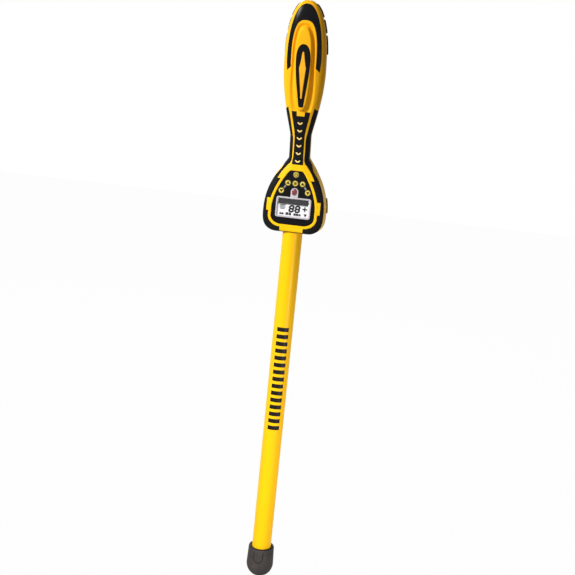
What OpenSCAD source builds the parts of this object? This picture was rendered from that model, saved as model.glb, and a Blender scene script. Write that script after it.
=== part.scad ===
// Handheld magnetic locator: a sensor tube on a rubber foot, under a leaning handle head with a display.
// Millimetres. +Z runs up the tube, the display faces -Y, and z = 0 is the tip of the foot.

/* [Tube and foot] */
// Outside diameter of the sensor tube
tube_od = 34; // [32:0.5:35]
// Wall of the sensor tube
tube_wall = 2; // [1.5:0.25:2.5]
// Widest diameter of the rubber foot
boot_od = 48; // [46:0.5:52]
// Height of the rubber foot
boot_height = 57; // [52:1:62]
// Distance between the centres of the two sensors, which sets the length of the tube
sensor_spacing = 480; // [400:5:520]

/* [Head] */
// Width of the display housing
housing_width = 104; // [102:0.5:110]
// Width of the hand grip
neck_width = 34.6; // [33:0.2:37]
// Width of the battery bulb
bulb_width = 68.6; // [67:0.2:73]
// Forward lean of the handle, degrees
lean = 13.5; // [10:0.5:15]

/* [Keys and display] */
// Diameter of a key cap
key_d = 10.6; // [9.6:0.1:11]
// Travel of a key
key_travel = 1; // [0.6:0.1:1.1]
// Width of the display window
window_w = 56; // [50:0.5:56]
// Height of the display window
window_h = 31; // [27:0.5:31]

/* [Battery door] */
// Diameter of the hinge pin
pin_d = 2; // [1.8:0.1:2.4]
// Diameter of the thumb screw's knob
knob_d = 13; // [11:0.5:14]

/* [Fits] */
// Clearance round a piece that is fixed in a pocket
fit = 0.15; // [0.1:0.05:0.2]
// Clearance round a piece that moves
move_gap = 0.3; // [0.25:0.05:0.4]
// Gap between two faces that rest on each other
seat = 0.05; // [0.04:0.01:0.08]

/* [Hidden] */
$fn = 64;
yellow = [0.98, 0.78, 0.08];
black = [0.08, 0.08, 0.09];
rubber = [0.30, 0.28, 0.27];
tube_r = tube_od / 2;
bore_r = tube_r - tube_wall;
boot_r = boot_od / 2;
boot_floor = 10;
// Levels of the lower sensor and of the display housing's underside
sensor_low = 82;
sensor_to_head = 67;
head_base = sensor_low + sensor_spacing + sensor_to_head;
socket_top = 21.4;
plug_top = socket_top - 0.4;
plug_flange = 1.6;
// Levels of the head, measured from head_base along the handle's centre line
wide_at = 35;
corner_reach = 37.5;
bend_low = 99;
bend_high = 123;
neck_low = 126;
neck_high = 164;
bulb_at = 274;
head_top = 378;
front_deep = 21;
back_deep = 22;
grip_deep = 14.5;
bulb_deep = 18;
front_wall = 3.2;
back_wall = 2.4;
bend_r = (bend_high - bend_low) * 180 / (PI * lean);
// Depths under the front skin of the display housing, all along Y
key_top = -22;
lamp_top = -21.4;
bezel_top = -20.9;
window_top = -20.7;
panel_top = -20.5;
window_ledge = -19.5;
panel_ledge = -19.15;
bezel_back = -18.9;
key_back = -18.1;
lamp_back = -18;
board_y = -14.3;
panel_t = 1.3;
board_t = 1.6;
lcd_at = 42;
lcd_w = 60;
lcd_h = 34.6;
frame_w = 4.6;
key_r = key_d / 2;
key_list = [[0, 97], [0, 82.6], [-12.4, 82.6], [-22.4, 69], [12.4, 82.6], [22.4, 69]];
lamp_at = 68;
lamp_tab = 6.4;
bezel_rim = 1.7;
skin_deep = 1.9;
skin_proud = 0.5;
// Screws that close the head: two pairs in the housing, two pairs in the handle
case_low = [[44, 20.5], [38, 71]];
case_high = [[13.5, 194], [13.5, 347]];
case_seat_low = 17;
case_seat_high = 10.5;
screw_r = 1.5;
screw_head_r = 2.8;
thread_r = 1.2;
boss_r = 3.8;
sink_r = 3.1;
board_fixings = [[38.6, 33], [16.5, 99]];
// Battery box
cell_d = 14.5;
cell_len = 50.5;
cell_pitch = 15.2;
cell_y = 5;
cells_low = 219.5;
door_low = 205;
door_high = 321.5;
door_t = 2.2;
door_slit = 0.35;
door_swing = 1.7;
hinge_at = 328;
hinge_y = back_d(hinge_at) - 3.6;
knuckle_r = 2.3;
knuckle_half = 10;
lug_r = 2.4;
lug_w = 3.6;
lug_from = knuckle_half + 0.75;
pin_play = 0.06;
knob_at = 212;
knob_seat = 16.6;
knob_boss_r = 6.6;
shank_r = 2;
nut_r = 3.2;
nut_low = 4;
nut_high = 11.3;
pin_r = pin_d / 2;
cable_r = 1.6;
cable_x = 10.7;
chevron_pitch = 12.55;
chevron_low = 123.4;
// Inlays on the front of the handle: how deep they sit and how far they stand out
inlay_deep = 1.3;
inlay_proud = 0.2;
// Screw that holds the tube in its socket
tube_screw_at = 15;
tube_screw_seat = 20.6;
// Flat rest on the back of the display housing, with the speaker behind it
rest_y = back_deep + 0.6;
rest_at = 46;
rest_w = 64;
rest_h = 68;
speaker_at = 56;
speaker_r = 17;
speaker_y = back_deep - back_wall;
grille_r = 1.1;
grille_pitch = 4.2;

function unit(v) = max(0, min(1, v));
function ease(t) = let (u = unit(t)) u * u * (3 - 2 * u);
function mix(a, b, t) = a + (b - a) * t;
function over(h, a, b) = unit((h - a) / (b - a));
function dome(h, m) = pow(max(0, 1 - pow(over(h, bulb_at, head_top), m)), 1 / m);

// Half width of the head's outline
function half_w(h) =
    h < wide_at ? housing_width / 2 * pow(1 - pow((wide_at - h) / corner_reach, 3.3), 1 / 3.3)
    : h < neck_low ? mix(neck_width, housing_width, ease(pow(1 - over(h, wide_at, neck_low), 0.58))) / 2
    : h < bulb_at ? mix(neck_width, bulb_width, ease(pow(over(h, neck_high, bulb_at), 0.65))) / 2
    : bulb_width / 2 * dome(h, 2.3);
// Depth of the head in front of and behind its parting plane
function toe(h) = h < 5 ? 5 - sqrt(25 - pow(5 - h, 2)) : 0;
function handle_deep(h) = mix(grip_deep, bulb_deep, ease(over(h, neck_high, bulb_at))) * dome(h, 2.6);
function front_d(h) =
    h < 150 ? mix(front_deep, grip_deep, ease(over(h, 102, 150))) - toe(h)
    : handle_deep(h);
function back_d(h) =
    h < 135 ? mix(back_deep, grip_deep, ease(over(h, 82, 135))) - toe(h)
    : handle_deep(h);
// Power of the cross-section: high is boxy, 2 is an ellipse
function bluntness(h) = mix(8, 2.5, ease(over(h, 62, neck_low)));
// Raised oval on the front of the bulb
crown_at = 285;
oval_low = 200;
oval_high = 347;
oval_half = 19.3;
oval_rise = 2.6;
function oval_reach(x, h) =
    pow(abs(x) / (oval_half * mix(0.45, 1, ease(over(h, 205, 275)))), 2.8)
    + pow(over(h, crown_at, oval_high), 2.8);
function bulge(x, h) =
    h < oval_low ? 0
    : oval_rise * ease(over(h, oval_low, 240)) * pow(max(0, 1 - oval_reach(x, h)), 0.75);

// A point of the head's surface at a turn round its centre line: 90 is the front, 0 the right edge
function skin_point(h, turn, out) =
    let (n = bluntness(h), c = cos(turn), q = sin(turn), w = max(0.3, half_w(h) + out))
    let (d = max(0.3, (q >= 0 ? front_d(h) : back_d(h)) + out), x = w * sign(c) * pow(abs(c), 2 / n))
    [x, -sign(q) * d * pow(abs(q), 2 / n) - (q > 0 ? bulge(x, h) : 0), h];
// Depth of the front, or the back, at a place on its face
function swell(x, h) = let (n = bluntness(h)) pow(max(0, 1 - pow(abs(x) / half_w(h), n)), 1 / n);
function front_at(x, h) = front_d(h) * swell(x, h) + bulge(x, h);
function back_at(x, h) = back_d(h) * swell(x, h);
// Places a point given along the handle's centre line
function tilt(h) = lean * over(h, bend_low, bend_high);
function axis_y(h) = -bend_r * (1 - cos(tilt(h))) - max(0, h - bend_high) * sin(lean);
function axis_z(h) = min(h, bend_low) + bend_r * sin(tilt(h)) + max(0, h - bend_high) * cos(lean);
function bent(p) =
    let (a = tilt(p[2]))
    [p[0], axis_y(p[2]) + p[1] * cos(a), head_base + axis_z(p[2]) + p[1] * sin(a)];

// Levels at which the head's cross-section is drawn, closest where it turns most
stations = concat([0, 1.2, 3], [for (h = [6 : 5 : 36]) h], [for (h = [45 : 10 : 85]) h],
    [for (h = [91 : 5 : 131]) h], [140, 152], [for (h = [164 : 8 : 204]) h], [for (h = [214 : 12 : 274]) h],
    [for (i = [1 : 11]) bulb_at + (head_top - bulb_at) * sin(i * 88.6 / 11)]);

// Closed solid through rings of points, each ring turning left as seen from above
module loft(rings, slab = false) {
    cols = len(rings[0]);
    rows = len(rings);
    top = (rows - 1) * cols;
    polyhedron(
        points = [for (r = rings) for (p = r) p],
        faces = concat(
            [for (i = [0 : rows - 2]) for (j = [0 : cols - 1]) let (a = i * cols, k = (j + 1) % cols)
                [a + j, a + cols + j, a + cols + k]],
            [for (i = [0 : rows - 2]) for (j = [0 : cols - 1]) let (a = i * cols, k = (j + 1) % cols)
                [a + j, a + cols + k, a + k]],
            slab ? slab_ends(cols, 0) : [[for (j = [0 : cols - 1]) j]],
            slab ? slab_ends(cols, top) : [[for (j = [cols - 1 : -1 : 0]) top + j]]));
}
// End faces of a slab, whose ring runs out along one side and back along the other
function slab_ends(cols, at) = concat(
    [for (j = [0 : cols / 2 - 2]) let (a = [at + j, at + j + 1, at + cols - 2 - j])
        at > 0 ? [a[2], a[1], a[0]] : a],
    [for (j = [0 : cols / 2 - 2]) let (a = [at + j, at + cols - 2 - j, at + cols - 1 - j])
        at > 0 ? [a[2], a[1], a[0]] : a]);

// Front or back half of the head, grown outwards by out and drawn back from the parting plane by cut
module half_head(front, out, cut = seat, low = 0, steps = 14) {
    first = front ? 180 : 0;
    shift = front ? -cut : cut;
    rows = low > 0 ? concat([low], [for (h = stations) if (h > low + 1) h]) : stations;
    loft([for (h = rows) [for (j = [0 : steps])
        bent(skin_point(h, first - 180 * j / steps, out) + [0, shift, 0])]]);
}

// The head drawn in by a wall, as one solid
module core(front_in, back_in, low) {
    rows = concat([low, 12], [for (i = [6 : 2 : len(stations) - 3]) stations[i]]);
    loft([for (h = rows) [for (j = [0 : 19]) let (turn = 180 - 360 * j / 20)
        bent(skin_point(h, turn, -(sin(turn) > 0 ? front_in : back_in)))]]);
}

// A slab that lies on the front of the head: spots are rows of [x, level], up and down count from the skin
module front_slab(spots, up, down) {
    last = len(spots[0]) - 1;
    loft([for (row = spots) concat(
        [for (a = row) front_point(a, up)],
        [for (j = [last : -1 : 0]) front_point(row[j], -down)])], true);
}
function front_point(a, up) = bent([a[0], -front_at(a[0], a[1]) - up, a[1]]);
// Rows of spots across a shape of given half widths
function across(levels, halves, cols) =
    [for (i = [0 : len(levels) - 1]) [for (j = [0 : cols]) [halves[i] * (2 * j / cols - 1), levels[i]]]];

// A pad that wraps round the side of the head, between two turns and two levels
module side_pad(low, high, turn_a, turn_b, out, into, rows = 4, cols = 4) {
    loft([for (i = [0 : rows]) let (h = mix(low, high, i / rows)) concat(
        [for (j = [0 : cols]) bent(skin_point(h, mix(turn_a, turn_b, j / cols), out))],
        [for (j = [cols : -1 : 0]) bent(skin_point(h, mix(turn_a, turn_b, j / cols), -into))])], true);
}

// Children drawn with z along the handle's centre line, above the bend
module in_handle() {
    translate([0, axis_y(bend_high), head_base + axis_z(bend_high)])
        rotate([lean, 0, 0])
        translate([0, 0, -bend_high])
        children();
}

module in_housing() {
    translate([0, 0, head_base]) children();
}

// A round bar along Y, from one depth to another
module bar_y(r, from, to) {
    translate([0, from, 0]) rotate([-90, 0, 0]) cylinder(r = r, h = to - from);
}

// A plate in the plane of the display, from one depth to another
module plate_y(from, to) {
    translate([0, to, 0]) rotate([90, 0, 0]) linear_extrude(to - from) children();
}

module both_sides() {
    children();
    mirror([1, 0, 0]) children();
}

module round_rect(w, h, r) {
    square([w - 2 * r, h], center = true);
    square([w, h - 2 * r], center = true);
    for (x = [-1, 1])
        for (y = [-1, 1])
            translate([x * (w / 2 - r), y * (h / 2 - r)]) circle(r = r);
}

// Half width of the keypad panel: rounded below, straight beside the display, tapered above
panel_low = 13;
panel_corner = 14;
panel_straight = 13;
panel_high = 104.5;
panel_wide = 37;
panel_foot = 19;
panel_head = 10.3;
panel_rest = 1.1;
panel_round = panel_low + panel_corner;
panel_taper = panel_round + panel_straight;
function panel_half(h) =
    h < panel_round ? mix(panel_foot, panel_wide, sqrt(max(0, 1 - pow((panel_round - h) / panel_corner, 2))))
    : h < panel_taper ? panel_wide
    : mix(panel_head, panel_wide, 1 - pow(over(h, panel_taper, panel_high), 1.75));
panel_levels = concat([for (a = [0, 17, 31, 45, 64, 90]) panel_round - panel_corner * cos(a)],
    [for (i = [0 : 9]) mix(panel_taper, panel_high, i / 9)]);
function panel_lift(h, grow) =
    h < panel_low + panel_corner / 20 ? -grow
    : h > panel_high - 1 ? grow
    : 0;

module panel_shape(grow) {
    polygon(concat(
        [for (h = panel_levels) [panel_half(h) + grow, h + panel_lift(h, grow)]],
        [for (i = [len(panel_levels) - 1 : -1 : 0]) let (h = panel_levels[i])
            [-panel_half(h) - grow, h + panel_lift(h, grow)]]));
}

// Yellow face of the housing and grip as seen from the front, inside the rubber rim
side_tab = [45.4, 34, 55];
foot_tab = [19.6, 1.6];
shoulder_low = 89;
shoulder_high = 117;
shoulder_half = 31;
rim_w = 8.4;
function shoulder_edge(h) = min(half_w(h) - rim_w, shoulder_half);
module housing_face(grow) {
    panel_shape(frame_w + grow);
    translate([-foot_tab[0] - grow, foot_tab[1] - grow]) square([2 * (foot_tab[0] + grow), panel_low]);
    translate([-side_tab[0] - grow, side_tab[1] - grow])
        square([2 * (side_tab[0] + grow), side_tab[2] - side_tab[1] + 2 * grow]);
    levels = [for (i = [0 : 7]) mix(shoulder_low, shoulder_high, i / 7)];
    polygon(concat(
        [for (h = levels) [shoulder_edge(h) + grow, h]],
        [[12.9 + grow, 121], [-12.9 - grow, 121]],
        [for (i = [7 : -1 : 0]) [-shoulder_edge(levels[i]) - grow, levels[i]]]));
}
// The same face above the bend, up to the flame tips of the rim and on over the bulb
grip_edge = [[14.3, 118], [11, 125], [11, 160], [19.5, 198]];
flame_tip = [23.2, 212];
flame_foot = [28, 205.5];
module handle_face(grow) {
    lift = -1.7 * grow;
    right = concat(
        [for (p = grip_edge) [p[0] + grow, p[1]]],
        [[flame_tip[0] + grow, flame_tip[1] + lift], [flame_foot[0], flame_foot[1] + lift]],
        [[60, flame_foot[1] + lift], [60, head_top + 40]]);
    polygon(concat(right, [for (i = [len(right) - 1 : -1 : 0]) [-right[i][0], right[i][1]]]));
}

// The rim covers the front corner of the head and leaves the side wall behind this depth bare
function rim_edge(h) = front_d(max(h, 0)) * mix(0.74, 0.2, ease(over(h, 72, neck_low)));
module rim_back(grow) {
    rows = concat([-8], [for (h = stations) if (h < flame_tip[1] + 20) h]);
    loft([for (h = rows) let (y = -rim_edge(h) - grow)
        [for (p = [[80, y], [80, 30], [-80, 30], [-80, y]]) bent([p[0], p[1], h])]]);
}
module rim_skin(out, into, grow) {
    difference() {
        half_head(true, out);
        half_head(true, -into, -1, into);
        rim_back(grow);
        in_housing() plate_y(-60, 10) housing_face(grow);
        in_handle() plate_y(-60, 10) handle_face(grow);
        in_housing() translate([0, 0, -5]) cylinder(r = tube_r + 2, h = 20);
    }
}

// Shapes that are let into the front of the handle
strip_low = 116.5;
strip_high = 205.5;
notch_low = 198.7;
function strip_half(h, grow) =
    grow + mix(9.3, 7.6, ease(over(h, strip_low, 136))) + 8.4 * ease(over(h, 160, strip_high + 8));
function strip_spots(grow) =
    let (levels = [for (i = [0 : 10]) mix(strip_low - grow, strip_high + grow, i / 10)])
    across(levels, [for (h = levels) strip_half(h, grow)], 4);
module strip_notch(grow) {
    in_handle()
        plate_y(-40, 0)
        polygon([[-6.8 + grow, 220], [-6 + grow, notch_low + grow],
            [6 - grow, notch_low + grow], [6.8 - grow, 220]]);
}
function chevron_z(i) = chevron_low + i * chevron_pitch;
module chevron_shapes(grow) {
    for (i = [0 : 5])
        translate([0, chevron_z(i)])
            offset(delta = grow)
            polygon([[0, -2.5], [3, -1.2], [4.7, 0.8], [4.7, 2.3], [2.8, 2.3], [0, 0.1],
                [-2.8, 2.3], [-4.7, 2.3], [-4.7, 0.8], [-3, -1.2]]);
}

// Horseshoe on the bulb: half width and height outside and inside, and the ends of its arms
crown_out = [28, 88.5];
crown_in = [20.4, 63.8];
crown_ends = [[26.6, 269], [20, 276]];
function crown_edge(turn, w, tall, m) =
    [w * sign(turn) * pow(abs(sin(turn)), 2 / m), crown_at + tall * pow(cos(turn), 2 / m)];
function crown_row(turn, grow) =
    let (a = crown_edge(turn, crown_out[0] + grow, crown_out[1] + grow, 2.2))
    let (b = crown_edge(turn, crown_in[0] - grow, crown_in[1] - grow, 2.8))
    [for (j = [0 : 3]) mix(a, b, j / 3)];
function crown_tip(side, grow) =
    let (a = [side * (crown_ends[0][0] + grow), crown_ends[0][1] - grow])
    let (b = [side * (crown_ends[1][0] - grow), crown_ends[1][1] - grow])
    [for (j = [0 : 3]) mix(a, b, j / 3)];
function crown_spots(grow) = concat(
    [crown_tip(-1, grow)],
    [for (i = [-9 : 9]) crown_row(i * 89.9 / 9, grow)],
    [crown_tip(1, grow)]);

tear_low = 212.5;
tear_wide = 288.5;
tear_high = 313.4;
tear_w = 11.9;
tear_tail = 3.2;
function tear_half(h) =
    h < tear_wide ? mix(tear_tail, tear_w, pow(ease(over(h, tear_low - 12, tear_wide)), 0.8))
    : tear_w * pow(max(0.02, 1 - pow(over(h, tear_wide, tear_high), 2.3)), 1 / 2.3);
function tear_spots(grow) =
    let (levels = concat([for (i = [0 : 8]) mix(tear_low - grow, tear_wide, i / 8)],
        [for (i = [1 : 7]) tear_wide + (tear_high + grow - tear_wide) * sin(i * 90 / 7)]))
    across(levels, [for (h = levels) tear_half(h) + grow], 4);
blade_low = 227;
blade_wide = 276;
blade_high = 302;
blade_w = 5.8;
blade_tip = 1.3;
function blade_half(h) =
    h < blade_wide ? mix(blade_tip, blade_w, pow(over(h, blade_low, blade_wide), 1.2))
    : mix(blade_w, blade_tip, pow(over(h, blade_wide, blade_high), 0.8));
function blade_spots(grow) =
    let (levels = [for (i = [0 : 10]) mix(blade_low - grow, blade_high + grow, i / 10)])
    across(levels, [for (h = levels) blade_half(h) + grow], 2);

// Draws one child at each case screw of the housing and another at each of the handle
module at_case_screws() {
    both_sides() {
        in_housing() for (p = case_low) translate([p[0], 0, p[1]]) children(0);
        in_handle() for (p = case_high) translate([p[0], 0, p[1]]) children(1);
    }
}

module tube_bore() {
    translate([0, 0, head_base - 10]) cylinder(r = tube_r + fit, h = 10 + socket_top);
    translate([0, 0, head_base + 7]) cylinder(r = tube_r + 2.7, h = 3);
    translate([0, 0, head_base]) cylinder(r = tube_r - 3, h = socket_top + 10);
}

module socket_block(from, to) {
    in_housing() translate([-24, from, 2.5]) cube([48, to - from, 21]);
}

module front_shell() {
    color(yellow)
    difference() {
        union() {
            difference() {
                half_head(true, 0);
                core(front_wall, back_wall, 3);
            }
            socket_block(-20, -seat);
            at_case_screws() {
                bar_y(boss_r, -18, -seat);
                bar_y(boss_r, -10.5, -seat);
            }
            both_sides() {
                in_housing() for (p = board_fixings)
                    translate([p[0], 0, p[1]]) bar_y(3, -18.4, board_y - seat);
                in_handle() for (h = tray_posts)
                    translate([tray_post_x, 0, h])
                    bar_y(3, 1.6 - front_at(tray_post_x, h), tray_y - seat);
            }
        }
        rim_skin(3, skin_deep, -fit);
        in_housing() plate_y(-40, panel_ledge) panel_shape(fit);
        in_housing() intersection() {
            plate_y(-40, -16) panel_shape(-panel_rest);
            translate([-60, -60, 24]) cube([120, 120, 120]);
        }
        difference() {
            front_slab(strip_spots(fit), 3, inlay_deep + seat);
            strip_notch(fit);
        }
        front_slab(crown_spots(fit), 3, inlay_deep + seat);
        front_slab(tear_spots(fit), 3, inlay_deep + seat);
        tube_bore();
        at_case_screws() {
            bar_y(thread_r + seat, -12, 1);
            bar_y(thread_r + seat, -8, 1);
        }
        both_sides() in_housing() for (p = board_fixings)
            translate([p[0], 0, p[1]]) bar_y(board_screw_r + 2 * seat, -17.5, 0);
    }
}

// Battery door: its outline seen from behind
function door_half(h) = min(22.6, half_w(h) - 6);
door_levels = [for (i = [0 : 10]) mix(door_low, door_high, i / 10)];
function door_lift(h) = h < door_low + 1 ? -door_slit : h > door_high - 1 ? door_swing : 0;
module door_opening() {
    polygon(concat(
        [for (h = door_levels) [door_half(h) + door_slit, h + door_lift(h)]],
        [for (i = [10 : -1 : 0]) let (h = door_levels[i]) [-door_half(h) - door_slit, h + door_lift(h)]]));
}
// Children drawn on the door's hinge line, with z along it from the level x
module at_hinge(x) {
    in_handle()
        translate([x, hinge_y, hinge_at])
        rotate([0, 90, 0])
        children();
}
module hinge_bore() {
    at_hinge(-25) cylinder(r = pin_r + pin_play, h = 50);
}

function pad_turn(side, a) = side > 0 ? -a : -180 + a;
module pads(list, out, into, grow) {
    for (side = [1, -1])
        for (p = list)
            side_pad(p[0] - grow, p[1] + grow, pad_turn(side, side > 0 ? p[2] - 3 * grow : p[3] + 3 * grow),
                pad_turn(side, side > 0 ? p[3] + 3 * grow : p[2] - 3 * grow), out, into);
}
housing_pads = [[36, 62, 8, 42]];
bulb_pads = [[354, 372, 12, 60], [330, 350, 12, 52], [297, 326, 12, 44]];

module rear_shell() {
    color(yellow)
    difference() {
        union() {
            difference() {
                half_head(false, 0);
                core(front_wall, back_wall, 3);
            }
            in_housing() translate([0, 0, rest_at]) plate_y(20.5, rest_y) round_rect(rest_w, rest_h, 8);
            socket_block(seat, 21);
            at_case_screws() {
                bar_y(boss_r + 1, seat, 18.5);
                bar_y(boss_r + 1, seat, 11.2);
            }
            in_housing() translate([0, 0, speaker_at]) difference() {
                bar_y(speaker_r + 1.8, 12, 20.4);
                bar_y(speaker_r + fit, 10, speaker_y);
            }
            both_sides() {
                at_hinge(lug_from) cylinder(r = lug_r, h = lug_w);
                in_handle() translate([lug_from, hinge_y - lug_r, hinge_at]) cube([lug_w, 2 * lug_r, 3]);
            }
        }
        tube_bore();
        in_handle() plate_y(1, 60) door_opening();
        in_handle() translate([-knuckle_half - 0.4, 2, door_low + 20])
            cube([2 * knuckle_half + 0.8, 40, hinge_at + knuckle_r + 0.8 - door_low - 20]);
        hinge_bore();
        at_case_screws() {
            union() {
                bar_y(screw_r + fit, -1, 30);
                bar_y(sink_r, case_seat_low, 40);
            }
            union() {
                bar_y(screw_r + fit, -1, 30);
                bar_y(sink_r, case_seat_high, 40);
            }
        }
        in_housing() translate([0, 0, speaker_at]) grille_holes();
        in_housing() translate([0, 0, tube_screw_at]) bar_y(screw_r + 0.1, 14, 40);
        in_housing() translate([0, 0, tube_screw_at]) bar_y(sink_r, tube_screw_seat, 40);
        pads(housing_pads, 6, 1 + seat, fit);
        pads(bulb_pads, 6, 1 + seat, fit);
    }
}

module grille_holes() {
    bar_y(grille_r, 15, 40);
    for (ring = [1 : 3])
        for (i = [0 : 6 * ring - 1])
            rotate([0, i * 60 / ring, 0])
            translate([0, 0, grille_pitch * ring])
            bar_y(grille_r, 15, 40);
}

module front_bumper() {
    color(black) rim_skin(skin_proud, skin_deep - 2 * seat, 0);
}
module housing_bumpers() {
    color(black) pads(housing_pads, 2, 1, 0);
}
module bulb_bumpers() {
    color(black) pads(bulb_pads, 1.4, 1, 0);
}
module crown_inlay() {
    color(black) front_slab(crown_spots(0), inlay_proud, inlay_deep);
}
module teardrop_inlay() {
    color(black) difference() {
        front_slab(tear_spots(0), inlay_proud, inlay_deep);
        front_slab(blade_spots(fit), 3, 0.5 + seat);
    }
}
module blade_insert() {
    color(yellow) front_slab(blade_spots(0), 0.7, 0.5);
}
module neck_strip() {
    color(black) difference() {
        front_slab(strip_spots(0), 2 * inlay_proud, inlay_deep);
        strip_notch(-fit);
        intersection() {
            in_handle() plate_y(-40, 0) chevron_shapes(0.1);
            front_slab(strip_spots(-1), 3, 0.4 + seat);
        }
    }
}
module chevrons() {
    color(yellow) intersection() {
        in_handle() plate_y(-40, 0) chevron_shapes(0);
        front_slab(strip_spots(-1), 0.6, 0.4);
    }
}

module bezel_shape(grow) {
    edge = bezel_rim + grow;
    translate([0, lcd_at]) round_rect(window_w + 2 * edge, window_h + 2 * edge, 2.5);
    translate([-lamp_tab - grow, lcd_at]) square([2 * (lamp_tab + grow), lamp_at + 0.6 - lcd_at]);
    translate([0, lamp_at + 0.6]) circle(r = lamp_tab + grow);
}
module lamp_shape(r) {
    translate([-r, lamp_at - 1.4]) square([2 * r, 2.8]);
    translate([0, lamp_at - 1.4]) circle(r = r);
    translate([0, lamp_at + 1.4]) circle(r = r);
}

module keypad_panel() {
    color(black) in_housing() difference() {
        plate_y(panel_top, panel_top + panel_t) panel_shape(0);
        plate_y(-40, 0) bezel_shape(fit);
        for (k = key_list) translate([k[0], 0, k[1]]) bar_y(key_r + move_gap, -40, 0);
    }
}
module display_bezel() {
    color([0.78, 0.75, 0.77]) in_housing() difference() {
        plate_y(bezel_top, bezel_back) bezel_shape(0);
        translate([0, 0, lcd_at])
            plate_y(-40, window_ledge) round_rect(window_w + 2 * fit, window_h + 2 * fit, 1.2);
        translate([0, 0, lcd_at]) plate_y(-40, 0) round_rect(window_w - 3, window_h - 3, 1);
        plate_y(-40, 0) lamp_shape(4 + fit);
    }
}
module display_window() {
    color([0.85, 0.88, 0.88]) in_housing() translate([0, 0, lcd_at])
        plate_y(window_top, window_ledge - seat) round_rect(window_w, window_h, 1.1);
}
module display_module() {
    color([0.72, 0.75, 0.72]) in_housing() translate([0, 0, lcd_at])
        plate_y(bezel_back + seat, board_y - seat) square([lcd_w, lcd_h], center = true);
}
module lamp_lens() {
    color([0.7, 0.1, 0.1]) in_housing() {
        plate_y(lamp_top, lamp_back - 0.5) lamp_shape(4);
        plate_y(bezel_back + seat, lamp_back) lamp_shape(5);
    }
}
module lamp_led() {
    color([0.9, 0.85, 0.8]) in_housing() translate([0, 0, lamp_at]) {
        bar_y(2.4, lamp_back + seat, board_y - seat);
        bar_y(2.8, -16, board_y - seat);
    }
}

module key_cap(k) {
    color([0.5, 0.45, 0.3]) in_housing() translate([k[0], 0, k[1]]) {
        bar_y(key_r, key_top + 0.4, key_back - 0.4);
        translate([0, key_top, 0]) rotate([-90, 0, 0]) cylinder(r1 = key_r - 0.4, r2 = key_r, h = 0.4);
        bar_y(key_r + 0.5, bezel_back, key_back);
    }
}
module key_power() { key_cap(key_list[0]); }
module key_centre() { key_cap(key_list[1]); }
module key_left_upper() { key_cap(key_list[2]); }
module key_left_lower() { key_cap(key_list[3]); }
module key_right_upper() { key_cap(key_list[4]); }
module key_right_lower() { key_cap(key_list[5]); }

module key_mat() {
    color([0.25, 0.25, 0.27]) in_housing() difference() {
        plate_y(key_back + key_travel + 0.25, board_y - seat)
            polygon(concat(
                [for (h = [62 : 6 : 98]) [min(panel_half(h) - 2.6, 28), h]],
                [for (h = [98 : -6 : 62]) [-min(panel_half(h) - 2.6, 28), h]]));
        translate([0, 0, lamp_at]) bar_y(3.1, -40, 0);
    }
}
board_edge = [[41.5, 27], [41.5, 57], [31, 65], [20, 102.5]];
module main_board() {
    color([0.1, 0.4, 0.2]) in_housing() difference() {
        plate_y(board_y, board_y + board_t)
            polygon(concat(board_edge, [for (i = [3 : -1 : 0]) [-board_edge[i][0], board_edge[i][1]]]));
        both_sides() for (p = board_fixings) translate([p[0], 0, p[1]]) bar_y(1.5, -40, 0);
    }
}
// Rear face of the board, where its parts are soldered
board_back = board_y + board_t + seat;
board_screw_r = 0.95;
module board_screws() {
    color([0.7, 0.7, 0.72]) both_sides() in_housing() for (p = board_fixings) translate([p[0], 0, p[1]]) {
        bar_y(board_screw_r, -17, board_back + 0.5);
        bar_y(2, board_back, board_back + 1.35);
    }
}
// Chips: place across, level, width, height
chip_list = [[-18, 40, 12, 12], [-22, 62, 8, 10], [20, 52, 10, 6], [4, 80, 14, 7]];
module board_chips() {
    color([0.12, 0.12, 0.13]) in_housing()
        for (c = chip_list)
            translate([c[0] - c[2] / 2, board_back, c[1] - c[3] / 2]) cube([c[2], 1.8, c[3]]);
}
sensor_socket = 36;
lead_socket = 93;
socket_w = 8;
socket_deep = 6.6;
module board_sockets() {
    color([0.9, 0.88, 0.8]) in_housing() {
        translate([cable_x - socket_w / 2, board_back, sensor_socket - socket_w / 2])
            cube([socket_w, socket_deep, socket_w]);
        translate([-socket_w / 2, board_back, lead_socket - socket_w / 2])
            cube([socket_w, socket_deep, socket_w]);
    }
}
module speaker() {
    color([0.35, 0.35, 0.37]) in_housing() translate([0, 0, speaker_at]) {
        bar_y(9, 7.5, 14);
        bar_y(12.5, 11, 16);
        bar_y(speaker_r, 15, speaker_y - 0.75);
    }
}
module speaker_cloth() {
    color([0.1, 0.1, 0.1]) in_housing() translate([0, 0, speaker_at])
        bar_y(speaker_r - 0.5, speaker_y - 0.7, speaker_y - 0.2);
}

module tube() {
    color(yellow) difference() {
        translate([0, 0, boot_floor + seat])
            cylinder(r = tube_r, h = head_base + plug_top - plug_flange - boot_floor - 2 * seat);
        cylinder(r = bore_r, h = head_base + 60);
        in_housing() translate([0, 0, tube_screw_at]) bar_y(screw_r + 0.1, 0, 40);
    }
}
seal_r = 1.25;
module tube_seal() {
    color(black) translate([0, 0, head_base + 8.5])
        rotate_extrude()
        translate([tube_r + seat + seal_r, 0])
        circle(r = seal_r);
}
module tube_plug() {
    color([0.2, 0.2, 0.2]) difference() {
        in_housing() {
            translate([0, 0, 2]) cylinder(r = bore_r - seat, h = plug_top - 2);
            translate([0, 0, plug_top - plug_flange]) cylinder(r = tube_r - 0.4, h = plug_flange);
        }
        translate([cable_x, 0, head_base]) cylinder(r = cable_r + seat, h = 60);
        in_housing() translate([0, 0, tube_screw_at]) bar_y(screw_r + 0.2, 8, 40);
    }
}
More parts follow.
